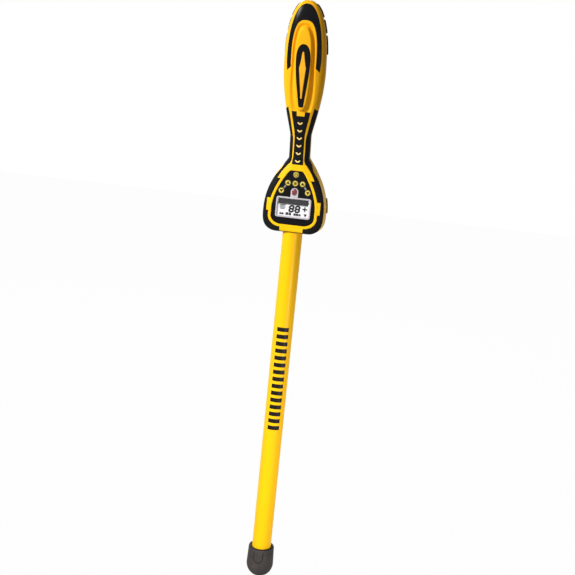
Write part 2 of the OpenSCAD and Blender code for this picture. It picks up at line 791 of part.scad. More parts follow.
module tube_screw() {
    color([0.7, 0.7, 0.72]) in_housing() translate([0, 0, tube_screw_at]) {
        bar_y(screw_r - seat, 10, tube_screw_seat + 0.4);
        bar_y(screw_head_r, tube_screw_seat + seat, tube_screw_seat + 1.7);
    }
}
module tip_plug() {
    color([0.2, 0.2, 0.2]) translate([0, 0, boot_floor + seat]) cylinder(r = bore_r - seat, h = tip_len);
}

tip_len = 14;
rod_r = 4;
rod_low = boot_floor + tip_len + 2 * seat;
module sensor_rod() {
    color([0.85, 0.83, 0.7]) translate([0, 0, rod_low])
        cylinder(r = rod_r, h = head_base + 2 - seat - rod_low);
}
sensor_levels = [sensor_low, sensor_low + sensor_spacing];
bobbin_half = 30;
bobbin_r = 6;
flange_r = 9;
flange_t = 2;
module sensor_bobbins() {
    color([0.9, 0.9, 0.88]) for (z = sensor_levels) translate([0, 0, z - bobbin_half]) difference() {
        union() {
            cylinder(r = bobbin_r, h = 2 * bobbin_half);
            cylinder(r = flange_r, h = flange_t);
            translate([0, 0, 2 * bobbin_half - flange_t]) cylinder(r = flange_r, h = flange_t);
        }
        translate([0, 0, -1]) cylinder(r = rod_r + seat, h = 2 * bobbin_half + 2);
    }
}
module sensor_windings() {
    low = flange_t + seat - bobbin_half;
    color([0.75, 0.42, 0.15]) for (z = sensor_levels) translate([0, 0, z + low]) difference() {
        cylinder(r = flange_r - 0.6, h = -2 * low);
        translate([0, 0, -1]) cylinder(r = bobbin_r + seat, h = 2 * bobbin_half + 2);
    }
}
spacer_levels = [38, sensor_low + 0.35 * sensor_spacing, sensor_low + 0.68 * sensor_spacing,
    sensor_low + sensor_spacing + bobbin_half + 8];
module sensor_spacers() {
    color([0.25, 0.25, 0.28]) for (z = spacer_levels) translate([0, 0, z - 6]) difference() {
        cylinder(r = bore_r - seat, h = 12);
        translate([0, 0, -1]) cylinder(r = rod_r + seat, h = 14);
        translate([cable_x, 0, -1]) cylinder(r = cable_r + seat, h = 14);
    }
}
// A cable from below: straight up, then a quarter turn towards the board
module cable_turn(x, top) {
    translate([x, -cable_bend, top - cable_bend])
        rotate([90, 0, 90])
        rotate_extrude(angle = 90)
        translate([cable_bend, 0])
        circle(r = cable_r);
}
cable_bend = 5;
socket_y = board_back + socket_deep + seat;
module sensor_cable() {
    color([0.3, 0.3, 0.3]) {
        translate([cable_x, 0, sensor_low])
            cylinder(r = cable_r, h = head_base + sensor_socket - cable_bend - sensor_low);
        in_housing() cable_turn(cable_x, sensor_socket);
        in_housing() translate([cable_x, 0, sensor_socket]) bar_y(cable_r, socket_y, -cable_bend);
    }
}
// Where the straight lines of the housing and the handle meet, counted from either end of the bend
bend_leg = bend_r * tan(lean / 2);
module battery_lead() {
    color([0.6, 0.1, 0.1]) {
        in_housing() translate([0, 0, lead_socket + cable_bend])
            cylinder(r = cable_r, h = bend_low + bend_leg - lead_socket - cable_bend);
        in_housing() translate([0, 0, bend_low + bend_leg]) sphere(r = cable_r + 0.3);
        in_handle() translate([0, 0, bend_high - bend_leg])
            cylinder(r = cable_r, h = tray_low - seat - bend_high + bend_leg);
        in_housing() mirror([0, 0, 1]) translate([0, 0, -2 * lead_socket]) cable_turn(0, lead_socket);
        in_housing() translate([0, 0, lead_socket]) bar_y(cable_r, socket_y, -cable_bend);
    }
}

tongue_half = 7.8;
module boot() {
    color(rubber) difference() {
        union() {
            rotate_extrude() {
                intersection() {
                    translate([0, boot_r]) circle(r = boot_r);
                    square([boot_r, boot_r]);
                }
                polygon([[0, boot_r], [boot_r, boot_r], [boot_r - 1.2, boot_height - 1.6],
                    [boot_r - 2.8, boot_height], [0, boot_height]]);
            }
            intersection() {
                translate([0, 0, boot_r])
                    cylinder(r1 = boot_r + 1, r2 = boot_r - 0.2, h = boot_height - boot_r);
                plate_y(-40, 0) {
                    translate([-tongue_half, boot_height - 16]) square([2 * tongue_half, 11]);
                    translate([0, boot_height - 16]) circle(r = tongue_half);
                }
            }
        }
        translate([0, 0, boot_floor]) cylinder(r = tube_r + seat, h = boot_height);
    }
}

tray_y = cell_y - cell_d / 2 - seat - 1.4;
tray_low = cells_low - 4.6;
tray_high = cells_low + 2 * cell_len + 2.2;
tray_t = 1.2;
tray_half = cell_pitch + cell_d / 2 + fit + tray_t;
tray_posts = [229, 312];
tray_post_x = 11;
module battery_tray() {
    color([0.15, 0.15, 0.16]) in_handle() difference() {
        union() {
            translate([-tray_half, tray_y, tray_low])
                cube([2 * tray_half, cell_y + 1.5 - tray_y, tray_high - tray_low]);
            translate([-5, 3, knob_at - 5]) cube([10, 8.5, tray_low - knob_at + 6]);
        }
        translate([tray_t - tray_half, tray_y + 1.4, tray_low + 1.5])
            cube([2 * (tray_half - tray_t), 30, tray_high - tray_low - 3]);
        translate([0, 0, knob_at]) bar_y(nut_r + seat, nut_low, 40);
        translate([0, 0, knob_at]) bar_y(2.6, 0, 40);
    }
}
module batteries() {
    color([0.2, 0.25, 0.3]) in_handle() for (col = [-1 : 1]) for (row = [0, 1])
        translate([col * cell_pitch, cell_y, cells_low + row * cell_len]) {
            cylinder(r = cell_d / 2, h = cell_len - 1.2 - seat);
            cylinder(r = 2.7, h = cell_len - seat);
        }
}
module battery_springs() {
    color([0.8, 0.8, 0.82]) in_handle() for (col = [-1 : 1]) translate([col * cell_pitch, cell_y, 0]) {
        translate([-5, -5, tray_low + 1.5 + seat]) cube([10, 10, 0.5]);
        for (i = [0 : 3])
            translate([0, 0, tray_low + 2.3 + seat + 0.6 * i])
                rotate_extrude() translate([5 - 0.6 * i, 0]) circle(r = 0.45);
        translate([-5, -5, tray_high - 1.5 - seat - 0.4]) cube([10, 10, 0.4]);
    }
}
function door_point(h, j, deep) = let (x = door_half(h) * (1 - j / 5)) [x, back_at(x, h) - deep, h];
module battery_door() {
    color(yellow) difference() {
        union() {
            in_handle() loft([for (h = door_levels) concat(
                [for (j = [0 : 10]) door_point(h, j, 0)],
                [for (j = [10 : -1 : 0]) door_point(h, j, door_t)])], true);
            at_hinge(-knuckle_half) cylinder(r = knuckle_r, h = 2 * knuckle_half);
            in_handle() translate([-knuckle_half, hinge_y - 0.6, door_high - 4])
                cube([2 * knuckle_half, back_d(door_high) - 1.1 - hinge_y + 0.6, hinge_at - door_high + 4]);
            in_handle() translate([0, 0, knob_at]) bar_y(knob_boss_r, 12.4, knob_seat);
        }
        hinge_bore();
        in_handle() translate([0, 0, knob_at]) bar_y(shank_r + move_gap, 0, 40);
    }
}
module door_pin() {
    color([0.75, 0.75, 0.77]) at_hinge(-lug_from - lug_w + 0.15)
        cylinder(r = pin_r, h = 2 * (lug_from + lug_w - 0.15));
}
module door_screw() {
    color([0.15, 0.15, 0.16]) in_handle() translate([0, 0, knob_at]) {
        bar_y(knob_d / 2, knob_seat + move_gap, knob_seat + move_gap + 4);
        bar_y(shank_r, 9.5, knob_seat + 2);
        bar_y(shank_r + 1.1, 11.75, 12.1);
    }
}
module door_nut() {
    color([0.8, 0.65, 0.3]) in_handle() translate([0, 0, knob_at]) difference() {
        bar_y(nut_r, nut_low + seat, nut_high);
        bar_y(shank_r + move_gap, 0, 40);
    }
}
module case_screws() {
    color([0.7, 0.7, 0.72]) at_case_screws() {
        union() {
            bar_y(thread_r, -10, case_seat_low + 0.2);
            bar_y(screw_head_r, case_seat_low + seat, case_seat_low + 2.4);
        }
        union() {
            bar_y(thread_r, -7, case_seat_high + 0.2);
            bar_y(screw_head_r, case_seat_high + seat, case_seat_high + 2.2);
        }
    }
}

front_shell();
rear_shell();
front_bumper();
housing_bumpers();
bulb_bumpers();
crown_inlay();
teardrop_inlay();
blade_insert();
neck_strip();
chevrons();
keypad_panel();
display_bezel();
display_window();
display_module();
lamp_lens();
lamp_led();
key_power();
key_centre();
key_left_upper();
key_left_lower();
key_right_upper();
key_right_lower();
key_mat();
main_board();
board_screws();
board_chips();
board_sockets();
speaker();
speaker_cloth();
tube();
tube_seal();
tube_plug();
tube_screw();
tip_plug();
sensor_rod();
sensor_bobbins();
sensor_windings();
sensor_spacers();
sensor_cable();
boot();
battery_tray();
batteries();
battery_springs();
battery_lead();
battery_door();
door_pin();
door_screw();
door_nut();
case_screws();
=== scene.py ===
import math
import bmesh
import bpy
import numpy as np
from mathutils import Matrix, Vector


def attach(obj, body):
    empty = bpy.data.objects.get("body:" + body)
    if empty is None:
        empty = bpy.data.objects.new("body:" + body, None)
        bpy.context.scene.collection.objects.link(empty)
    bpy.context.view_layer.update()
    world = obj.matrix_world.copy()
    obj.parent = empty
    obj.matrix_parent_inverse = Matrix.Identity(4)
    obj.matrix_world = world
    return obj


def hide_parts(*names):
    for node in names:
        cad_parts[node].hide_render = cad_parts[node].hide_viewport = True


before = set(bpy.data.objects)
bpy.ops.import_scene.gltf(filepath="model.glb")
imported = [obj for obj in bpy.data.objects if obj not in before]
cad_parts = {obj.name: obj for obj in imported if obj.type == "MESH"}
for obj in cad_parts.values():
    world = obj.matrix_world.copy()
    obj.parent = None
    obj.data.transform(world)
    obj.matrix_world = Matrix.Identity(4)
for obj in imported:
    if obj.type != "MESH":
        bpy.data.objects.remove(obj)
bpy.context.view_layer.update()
scene = bpy.context.scene
scene.view_settings.view_transform = "Standard"
print("frame loaded:", len(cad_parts), "solids")


# finishes

def setInputs(tree, node, inputs):
    # each input is linked to a socket or given a value
    for name, value in inputs.items():
        if isinstance(value, bpy.types.NodeSocket):
            tree.links.new(value, node.inputs[name])
        else:
            node.inputs[name].default_value = value


def addNode(tree, kind, inputs=None, **settings):
    node = tree.nodes.new(kind)
    for name, value in settings.items():
        setattr(node, name, value)
    setInputs(tree, node, inputs or {})
    return node


def noiseOn(tree, coords, scale, detail=3.0):
    return addNode(tree, "ShaderNodeTexNoise", {"Vector": coords, "Scale": scale, "Detail": detail}).outputs["Fac"]


def waveOn(tree, coords, direction, scale):
    wave = addNode(tree, "ShaderNodeTexWave", {"Vector": coords, "Scale": scale}, bands_direction=direction)
    return wave.outputs["Fac"]


def mathOn(tree, operation, *values):
    return addNode(tree, "ShaderNodeMath", dict(enumerate(values)), operation=operation).outputs[0]


def rampOn(tree, value, stops):
    ramp = addNode(tree, "ShaderNodeValToRGB", {"Fac": value})
    while len(ramp.color_ramp.elements) < len(stops):
        ramp.color_ramp.elements.new(0.5)
    for element, (at, colour) in zip(ramp.color_ramp.elements, stops):
        element.position = at
        element.color = (*colour, 1)
    return ramp.outputs["Color"]


def spreadOn(tree, value, low, high, start=0.3, stop=0.7):
    spread = addNode(tree, "ShaderNodeMapRange", {"Value": value, "From Min": start, "From Max": stop,
                                                  "To Min": low, "To Max": high})
    return spread.outputs["Result"]


def bumpOn(tree, height, strength, distance=0.0002):
    bump = addNode(tree, "ShaderNodeBump", {"Height": height, "Strength": strength, "Distance": distance})
    return bump.outputs["Normal"]


def newMaterial(name, turn=(0, 0, 0)):
    # a material, its tree and the piece's own coordinates
    material = bpy.data.materials.new(name)
    material.use_nodes = True
    tree = material.node_tree
    own = addNode(tree, "ShaderNodeTexCoord").outputs["Object"]
    return material, tree, addNode(tree, "ShaderNodeMapping", {"Vector": own, "Rotation": turn}).outputs["Vector"]


def dressed(material, inputs):
    setInputs(material.node_tree, material.node_tree.nodes["Principled BSDF"], inputs)
    return material


def plainFinish(name, colour, second, rough, grain=1500.0, bump=0.15, cloud=30.0, metal=0.0, specular=0.5,
                spread=0.05):
    # two tones in slow clouds, a fine moulded grain and a roughness that varies with it
    material, tree, coords = newMaterial(name)
    return dressed(material, {
        "Base Color": rampOn(tree, noiseOn(tree, coords, cloud, 4.0), [(0.35, colour), (0.68, second)]),
        "Roughness": spreadOn(tree, noiseOn(tree, coords, cloud * 6), rough - spread, rough + spread),
        "Normal": bumpOn(tree, noiseOn(tree, coords, grain, 2.0), bump),
        "Metallic": metal, "Specular IOR Level": specular})


def shellFinish(name, low, high, levels, rough, specular):
    # moulded yellow with painted shade: it deepens a little to orange from the housing up to the handle, so that the
    # bulb's shaded sides turn brown
    material, tree, coords = newMaterial(name)
    height = addNode(tree, "ShaderNodeSeparateXYZ", {0: coords}).outputs["Z"]
    toneAndShade = mathOn(tree, "MULTIPLY_ADD", noiseOn(tree, coords, 14.0, 4.0), 0.25, spreadOn(tree, height, 0, 1, *levels))
    return dressed(material, {
        "Base Color": rampOn(tree, toneAndShade, [(0.1, low), (1.0, high)]),
        "Roughness": spreadOn(tree, noiseOn(tree, coords, 84.0), rough - 0.05, rough + 0.05),
        "Normal": bumpOn(tree, noiseOn(tree, coords, 2600.0, 2.0), 0.06), "Specular IOR Level": specular})


def wovenFinish(name, colour, gap, scale):
    # crossed threads of a dust cloth
    material, tree, coords = newMaterial(name)
    threads = mathOn(tree, "MULTIPLY", *[waveOn(tree, coords, axis, scale) for axis in ("X", "Z")])
    return dressed(material, {
        "Base Color": rampOn(tree, threads, [(0.1, gap), (0.6, colour)]), "Roughness": 0.85,
        "Normal": bumpOn(tree, threads, 0.5, 0.0003)})


def bandedFinish(name, stops, scale, rough, metal, bump, turn=(0, 0, 0)):
    # turns of wire, whose dark stops are painted shade in the grooves between the turns, or the printed bands of a
    # cell's jacket
    material, tree, coords = newMaterial(name, turn)
    bands = waveOn(tree, coords, "Z", scale)
    return dressed(material, {
        "Base Color": rampOn(tree, bands, stops), "Metallic": metal, "Normal": bumpOn(tree, bands, bump),
        "Roughness": spreadOn(tree, noiseOn(tree, coords, 400.0), rough - 0.06, rough + 0.06)})


def clearFinish(name, colour, alpha):
    # hard-coated clear plastic with faint smears
    material, tree, coords = newMaterial(name)
    return dressed(material, {
        "Base Color": rampOn(tree, noiseOn(tree, coords, 60.0), [(0.3, colour), (0.7, (0.95, 0.96, 0.97))]),
        "Roughness": spreadOn(tree, noiseOn(tree, coords, 90.0), 0.03, 0.09), "Alpha": alpha})


def frostedFinish(name, deep, pale, rough):
    # coloured lens with a pattern of small ribs inside
    material, tree, coords = newMaterial(name)
    return dressed(material, {
        "Base Color": rampOn(tree, waveOn(tree, coords, "DIAGONAL", 420.0), [(0.2, deep), (0.9, pale)]),
        "Roughness": spreadOn(tree, noiseOn(tree, coords, 300.0), rough - 0.04, rough + 0.04), "Coat Weight": 0.2})


finish = {
    # the shell yellow deepens to orange towards the handle and bulb as painted shade
    "yellowShell": shellFinish("yellow shell with painted shade", (1.0, 0.57, 0.007), (1.0, 0.475, 0.009), (0.74, 0.86), 0.42,
                               0.08),
    "yellowTrim": plainFinish("yellow trim", (1.0, 0.47, 0.018), (0.95, 0.43, 0.014), 0.34, cloud=60.0, bump=0.05,
                              specular=0.2),
    "paleTrim": plainFinish("pale yellow trim", (1.0, 0.74, 0.26), (0.96, 0.68, 0.21), 0.36, cloud=60.0, bump=0.05,
                            specular=0.2),
    "tubePaint": plainFinish("yellow powder coat", (1.0, 0.545, 0.003), (0.985, 0.52, 0.003), 0.34, grain=900.0,
                             bump=0.10, cloud=9.0, specular=0.12),
    "blackRubber": plainFinish("black rubber", (0.0060, 0.0060, 0.0068), (0.0095, 0.0092, 0.0096), 0.50,
                               grain=3200.0, bump=0.22, cloud=40.0, specular=0.05),
    "blackGloss": plainFinish("black gloss inlay", (0.0040, 0.0042, 0.0058), (0.0060, 0.0060, 0.0072), 0.22,
                              grain=700.0, bump=0.02, cloud=22.0, specular=0.08, spread=0.03),
    "blackGrip": plainFinish("black grip strip", (0.0065, 0.0064, 0.007), (0.010, 0.0098, 0.0102), 0.46,
                             grain=2400.0, bump=0.25, specular=0.05),
    "blackPanel": plainFinish("black keypad film", (0.0055, 0.0055, 0.0062), (0.0085, 0.0085, 0.009), 0.34,
                              grain=3000.0, bump=0.08, cloud=50.0, specular=0.05),
    "greyBezel": plainFinish("grey bezel", (0.58, 0.53, 0.56), (0.50, 0.455, 0.485), 0.32, grain=2200.0, bump=0.06,
                             cloud=80.0),
    "window": clearFinish("clear window", (0.86, 0.88, 0.90), 0.015),
    "display": plainFinish("display face", (0.86, 0.84, 0.865), (0.79, 0.775, 0.80), 0.30, grain=5000.0, bump=0.03,
                           cloud=70.0),
    "ink": plainFinish("display ink", (0.006, 0.006, 0.008), (0.011, 0.0105, 0.013), 0.45, cloud=120.0, bump=0.03,
                       specular=0.1),
    "inkPale": plainFinish("pale display ink", (0.16, 0.145, 0.135), (0.12, 0.11, 0.10), 0.45, cloud=120.0, bump=0.03,
                           specular=0.1),
    "redLens": frostedFinish("red lens", (0.15, 0.012, 0.014), (0.23, 0.028, 0.028), 0.16),
    "led": frostedFinish("clear diode", (0.80, 0.74, 0.66), (0.92, 0.88, 0.82), 0.2),
    "keyRim": plainFinish("olive key rim", (0.17, 0.135, 0.045), (0.11, 0.086, 0.032), 0.42, cloud=240.0, bump=0.08,
                          specular=0.2),
    "keyTop": plainFinish("yellow key top", (0.80, 0.64, 0.10), (0.66, 0.50, 0.07), 0.38, cloud=260.0, bump=0.05,
                          specular=0.2),
    "keyMark": plainFinish("black key mark", (0.008, 0.008, 0.009), (0.014, 0.013, 0.013), 0.45, cloud=300.0,
                           specular=0.1),
    "keyLink": plainFinish("grey key link", (0.30, 0.28, 0.28), (0.23, 0.215, 0.215), 0.45, cloud=200.0),
    "matRubber": plainFinish("key mat rubber", (0.05, 0.05, 0.054), (0.07, 0.07, 0.073), 0.6),
    "board": plainFinish("circuit board", (0.012, 0.115, 0.04), (0.022, 0.17, 0.06), 0.35, grain=700.0, bump=0.2,
                         cloud=130.0),
    "chips": plainFinish("chip resin", (0.012, 0.012, 0.013), (0.022, 0.022, 0.023), 0.5, cloud=200.0),
    "sockets": plainFinish("socket plastic", (0.78, 0.74, 0.62), (0.70, 0.66, 0.55), 0.4, cloud=160.0),
    "steel": plainFinish("zinc steel", (0.27, 0.27, 0.28), (0.19, 0.19, 0.20), 0.36, cloud=220.0, metal=1.0),
    "speakerMetal": plainFinish("speaker can", (0.22, 0.22, 0.23), (0.30, 0.30, 0.31), 0.36, cloud=90.0, metal=1.0),
    "cloth": wovenFinish("dust cloth", (0.035, 0.035, 0.037), (0.006, 0.006, 0.006), 600.0),
    "blackPlastic": plainFinish("black plastic", (0.014, 0.014, 0.015), (0.024, 0.024, 0.025), 0.42, cloud=70.0),
    "rod": plainFinish("glass fibre rod", (0.55, 0.53, 0.42), (0.42, 0.41, 0.32), 0.45, cloud=150.0),
    "bobbin": plainFinish("bobbin nylon", (0.75, 0.73, 0.68), (0.66, 0.64, 0.60), 0.4, cloud=110.0),
    # the dark stop of the copper bands is painted shade in the grooves between the turns
    "copper": bandedFinish("copper wire", [(0.1, (0.30, 0.09, 0.03)), (0.7, (0.86, 0.36, 0.15))], 700.0, 0.28, 1.0,
                           0.6),
    "cable": plainFinish("cable jacket", (0.02, 0.02, 0.022), (0.032, 0.032, 0.034), 0.5, cloud=130.0),
    "bootRubber": plainFinish("grey boot rubber", (0.068, 0.060, 0.056), (0.050, 0.044, 0.042), 0.50, grain=2600.0,
                              bump=0.22, cloud=45.0, specular=0.02),
    # painted shade: near-black rubber that stands for the shadow in the boot's mouth round the tube and in a ring round
    # the tongue
    "bootPaintedShade": plainFinish("painted shade on boot", (0.010, 0.009, 0.009), (0.016, 0.0145, 0.014), 0.6, cloud=90.0,
                            specular=0.1),
    "cells": bandedFinish("cell jackets", [(0.35, (0.015, 0.016, 0.02)), (0.42, (0.55, 0.32, 0.13)),
                                           (0.55, (0.62, 0.36, 0.15))],
                          3.17, 0.3, 0.3, 0.02, turn=(math.radians(-13.5), 0, 0)),
    "knob": plainFinish("thumb screw plastic", (0.013, 0.013, 0.014), (0.022, 0.022, 0.023), 0.40, cloud=160.0),
    "brass": plainFinish("brass", (0.68, 0.47, 0.16), (0.56, 0.38, 0.12), 0.3, cloud=180.0, metal=1.0),
    "tubeInk": plainFinish("black tube print", (0.006, 0.006, 0.006), (0.010, 0.0095, 0.009), 0.38, cloud=90.0,
                           bump=0.05, specular=0.1),
}
print("finishes:", len(finish))

# finishes of the solids that keep their own mesh
solidFinish = {
    "lamp_led": "led", "key_mat": "matRubber", "main_board": "board", "board_screws": "steel",
    "board_chips": "chips", "board_sockets": "sockets", "speaker": "speakerMetal", "speaker_cloth": "cloth",
    "tube_seal": "blackRubber", "tube_plug": "blackPlastic", "tip_plug": "blackPlastic", "sensor_rod": "rod",
    "sensor_bobbins": "bobbin", "sensor_windings": "copper", "sensor_spacers": "blackPlastic",
    "sensor_cable": "cable", "battery_tray": "blackPlastic", "batteries": "cells", "battery_springs": "steel",
    "battery_lead": "cable", "door_pin": "steel", "door_nut": "brass", "display_module": "display",
}
for nodeName, finishName in solidFinish.items():
    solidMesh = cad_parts[nodeName].data
    solidMesh.materials.clear()
    solidMesh.materials.append(finish[finishName])
print("solids that keep their mesh:", len(solidFinish))


# meshes, all sizes in millimetres until a piece is made

def gridFaces(rows, cols, closed=True, start=0):
    last = cols if closed else cols - 1
    return [(start + i * cols + j, start + i * cols + (j + 1) % cols, start + (i + 1) * cols + (j + 1) % cols,
             start + (i + 1) * cols + j) for i in range(rows - 1) for j in range(last)]


def loftShape(rings):
    # a closed body through rings of equal length, capped at both ends
    rings = np.asarray(rings, float)
    rows, cols = rings.shape[:2]
    faces = gridFaces(rows, cols)
    faces.append(tuple(range(cols))[::-1])
    faces.append(tuple((rows - 1) * cols + j for j in range(cols)))
    return rings.reshape(-1, 3), faces


def loopShape(rings):
    # a closed band, whose last ring joins the first
    rings = np.asarray(rings, float)
    rows, cols = rings.shape[:2]
    faces, last = gridFaces(rows, cols), (rows - 1) * cols
    faces += [(last + j, last + (j + 1) % cols, (j + 1) % cols, j) for j in range(cols)]
    return rings.reshape(-1, 3), faces


def joinShapes(shapes):
    points, faces, marks = [], [], []
    for shape in shapes:
        start = len(points)
        points.extend(np.asarray(shape[0], float).tolist())
        faces.extend(tuple(start + k for k in face) for face in shape[1])
        marks.extend([shape[2] if len(shape) > 2 else 0] * len(shape[1]))
    return points, faces, marks


def tidyMesh(mesh, sharp, gap=0.00001):
    work = bmesh.new()
    work.from_mesh(mesh)
    bmesh.ops.remove_doubles(work, verts=work.verts, dist=gap)
    bmesh.ops.dissolve_degenerate(work, edges=work.edges, dist=gap)
    bmesh.ops.recalc_face_normals(work, faces=work.faces)
    work.to_mesh(mesh)
    work.free()
    mesh.polygons.foreach_set("use_smooth", [True] * len(mesh.polygons))
    mesh.set_sharp_from_angle(angle=math.radians(sharp))


def makePiece(name, shapes, finishNames, sharp=38.0):
    points, faces, marks = joinShapes(shapes)
    mesh = bpy.data.meshes.new(name)
    mesh.from_pydata((np.asarray(points) * 0.001).tolist(), [], faces)
    for finishName in finishNames:
        mesh.materials.append(finish[finishName])
    mesh.polygons.foreach_set("material_index", marks)
    tidyMesh(mesh, sharp)
    piece = bpy.data.objects.new(name, mesh)
    scene.collection.objects.link(piece)
    return piece


def settle(piece, slotName, *solids, body="locator"):
    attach(piece, body)
    if solids:
        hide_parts(*solids)
    return piece


def plainMesh(piece):
    # bakes a piece's modifiers into a plain mesh and drops them
    graph = bpy.context.evaluated_depsgraph_get()
    mesh = bpy.data.meshes.new_from_object(piece.evaluated_get(graph))
    piece.modifiers.clear()
    old = piece.data
    piece.data = mesh
    bpy.data.meshes.remove(old)
    return piece


def cutWith(piece, cutters, sharp=38.0):
    for cutter in cutters:
        step = piece.modifiers.new("cut", "BOOLEAN")
        step.operation = "DIFFERENCE"
        step.solver = "EXACT"
        step.object = cutter
    plainMesh(piece)
    for cutter in cutters:
        bpy.data.objects.remove(cutter)
    piece.data.polygons.foreach_set("use_smooth", [True] * len(piece.data.polygons))
    piece.data.set_sharp_from_angle(angle=math.radians(sharp))
    return piece


def latheShape(profile, segments=64, place=None):
    # profile of (radius, height) pairs turned round the height axis
    turns = np.arange(segments) * 2 * math.pi / segments
    rings = [[(r * math.cos(t), r * math.sin(t), z) for t in turns] for r, z in profile]
    points, faces = loftShape(rings)
    return (place(points) if place else points), faces


def plateShape(loops, front, back, bevel, lift=0.0):
    # a bevelled plate that faces -Y, from closed loops of (x, level); later loops are holes
    curve = bpy.data.curves.new("plate", "CURVE")
    curve.dimensions = "2D"
    curve.fill_mode = "BOTH"
    for loop in loops:
        spline = curve.splines.new("POLY")
        spline.points.add(len(loop) - 1)
        for point, (x, h) in zip(spline.points, loop):
            point.co = (x, h, 0, 1)
        spline.use_cyclic_u = True
    curve.extrude = (back - front) / 2 - bevel
    curve.bevel_depth = bevel
    curve.bevel_resolution = 3
    curve.offset = -bevel
    holder = bpy.data.objects.new("plate", curve)
    scene.collection.objects.link(holder)
    graph = bpy.context.evaluated_depsgraph_get()
    mesh = bpy.data.meshes.new_from_object(holder.evaluated_get(graph))
    flat = np.array([v.co[:] for v in mesh.vertices])
    points = np.stack([flat[:, 0], (front + back) / 2 - flat[:, 2], flat[:, 1] + lift], axis=1)
    faces = [tuple(p.vertices) for p in mesh.polygons]
    bpy.data.objects.remove(holder)
    bpy.data.curves.remove(curve)
    bpy.data.meshes.remove(mesh)
    return points, faces


def roundedLoop(w, h, r, at=(0.0, 0.0), steps=8):
    loop = []
    for cx, cy, first in ((1, -1, -90), (1, 1, 0), (-1, 1, 90), (-1, -1, 180)):
        for k in range(steps + 1):
            a = math.radians(first + 90 * k / steps)
            loop.append((at[0] + cx * (w / 2 - r) + r * math.cos(a), at[1] + cy * (h / 2 - r) + r * math.sin(a)))
    return loop


def circleLoop(r, at, steps=40):
    return [(at[0] + r * math.cos(2 * math.pi * k / steps), at[1] + r * math.sin(2 * math.pi * k / steps))
            for k in range(steps)]


# Geometry Nodes for what repeats

def repeatTree(name, sizes):
    # an empty tree with its named inputs, and the identifier of each
    tree = bpy.data.node_groups.new(name, "GeometryNodeTree")
    tree.is_modifier = True
    idents = {}
    for label, kind in {"Geometry": "Geometry", "Shape": "Object", **sizes}.items():
        socket = tree.interface.new_socket(label, in_out="INPUT", socket_type="NodeSocket" + kind)
        idents[label] = socket.identifier
    tree.interface.new_socket("Geometry", in_out="OUTPUT", socket_type="NodeSocketGeometry")
    return tree, idents, addNode(tree, "NodeGroupInput").outputs


def placeShape(tree, entry, finishName, placing):
    # one copy of the shape on each point, made real and given its finish
    info = addNode(tree, "GeometryNodeObjectInfo", {"Object": entry["Shape"]})
    place = addNode(tree, "GeometryNodeInstanceOnPoints", {"Instance": info.outputs["Geometry"], **placing})
    real = addNode(tree, "GeometryNodeRealizeInstances", {"Geometry": place.outputs["Instances"]})
    coat = addNode(tree, "GeometryNodeSetMaterial", {"Geometry": real.outputs["Geometry"],
                                                     "Material": finish[finishName]})
    addNode(tree, "NodeGroupOutput", {"Geometry": coat.outputs["Geometry"]})


def runTree(name, mesh, shape, finishName, tree, idents, values):
    # copies of a small shape as one plain mesh
    single = makePiece(name + ".one", [shape], [finishName])
    piece = bpy.data.objects.new(name, mesh)
    scene.collection.objects.link(piece)
    step = piece.modifiers.new("repeat", "NODES")
    step.node_group = tree
    for label, value in {"Shape": single, **values}.items():
        step[idents[label]] = value
    plainMesh(piece)
    bpy.data.objects.remove(single)
    return piece


def repeatAt(name, shape, places, turns, finishName, size=1.0):
    # a copy at each place in mm, turned by the point's own attribute
    mesh = bpy.data.meshes.new(name)
    mesh.from_pydata((np.asarray(places, float) * 0.001).tolist(), [], [])
    turn = mesh.attributes.new("turn", "FLOAT_VECTOR", "POINT")
    turn.data.foreach_set("vector", np.asarray(turns, float).ravel())
    tree, idents, entry = repeatTree(name + " placing", {"Size": "Float"})
    own = addNode(tree, "GeometryNodeInputNamedAttribute", {"Name": "turn"}, data_type="FLOAT_VECTOR")
    toTurn = addNode(tree, "FunctionNodeEulerToRotation", {"Euler": own.outputs["Attribute"]})
    placeShape(tree, entry, finishName, {"Points": entry["Geometry"], "Rotation": toTurn.outputs["Rotation"],
                                         "Scale": entry["Size"]})
    return runTree(name, mesh, shape, finishName, tree, idents, {"Size": size})


def repeatRow(name, shape, count, start, step, finishName):
    # a straight row in mm: how many, and the step from each to the next
    tree, idents, entry = repeatTree(name + " row", {"Count": "Int", "Start": "Vector", "Step": "Vector"})
    line = addNode(tree, "GeometryNodeMeshLine", {"Count": entry["Count"], "Start Location": entry["Start"],
                                                  "Offset": entry["Step"]})
    placeShape(tree, entry, finishName, {"Points": line.outputs["Mesh"]})
    return runTree(name, bpy.data.meshes.new(name), shape, finishName, tree, idents, {
        "Count": count, "Start": [v * 0.001 for v in start], "Step": [v * 0.001 for v in step]})


# the head's surface, the same rules as the solids at a finer step

head = {
    "base": 629.0, "lean": 13.5, "bendLow": 99.0, "bendHigh": 123.0, "top": 378.0, "bulbAt": 274.0,
    "footHigh": 35.0, "neckLow": 126.0, "neckHigh": 164.0, "toe": 5.0,
    "housingWidth": 104.0, "neckWidth": 34.6, "bulbWidth": 68.6, "frontDeep": 21.0, "backDeep": 22.0,
    "gripDeep": 14.5, "bulbDeep": 18.0, "frontWall": 3.2, "backWall": 2.4, "floor": 3.2,
    "seamGap": 0.06, "seamRound": 0.4, "frontFall": (102, 150), "backFall": (82, 135), "footFall": 37.5,
    "footPower": 3.3, "shoulderPower": 0.58, "gripPower": 0.65, "wideDome": 2.3, "deepDome": 2.6,
    "bluntFrom": 62.0, "bluntHousing": 8.0, "bluntHandle": 2.5,
}


def ease(t):
    u = np.clip(t, 0, 1)
    return u * u * (3 - 2 * u)


def mix(a, b, t):
    return a + (b - a) * t


def over(h, a, b):
    return np.clip((np.asarray(h, float) - a) / (b - a), 0, 1)


def dome(h, power):
    return np.maximum(0, 1 - over(h, head["bulbAt"], head["top"]) ** power) ** (1 / power)


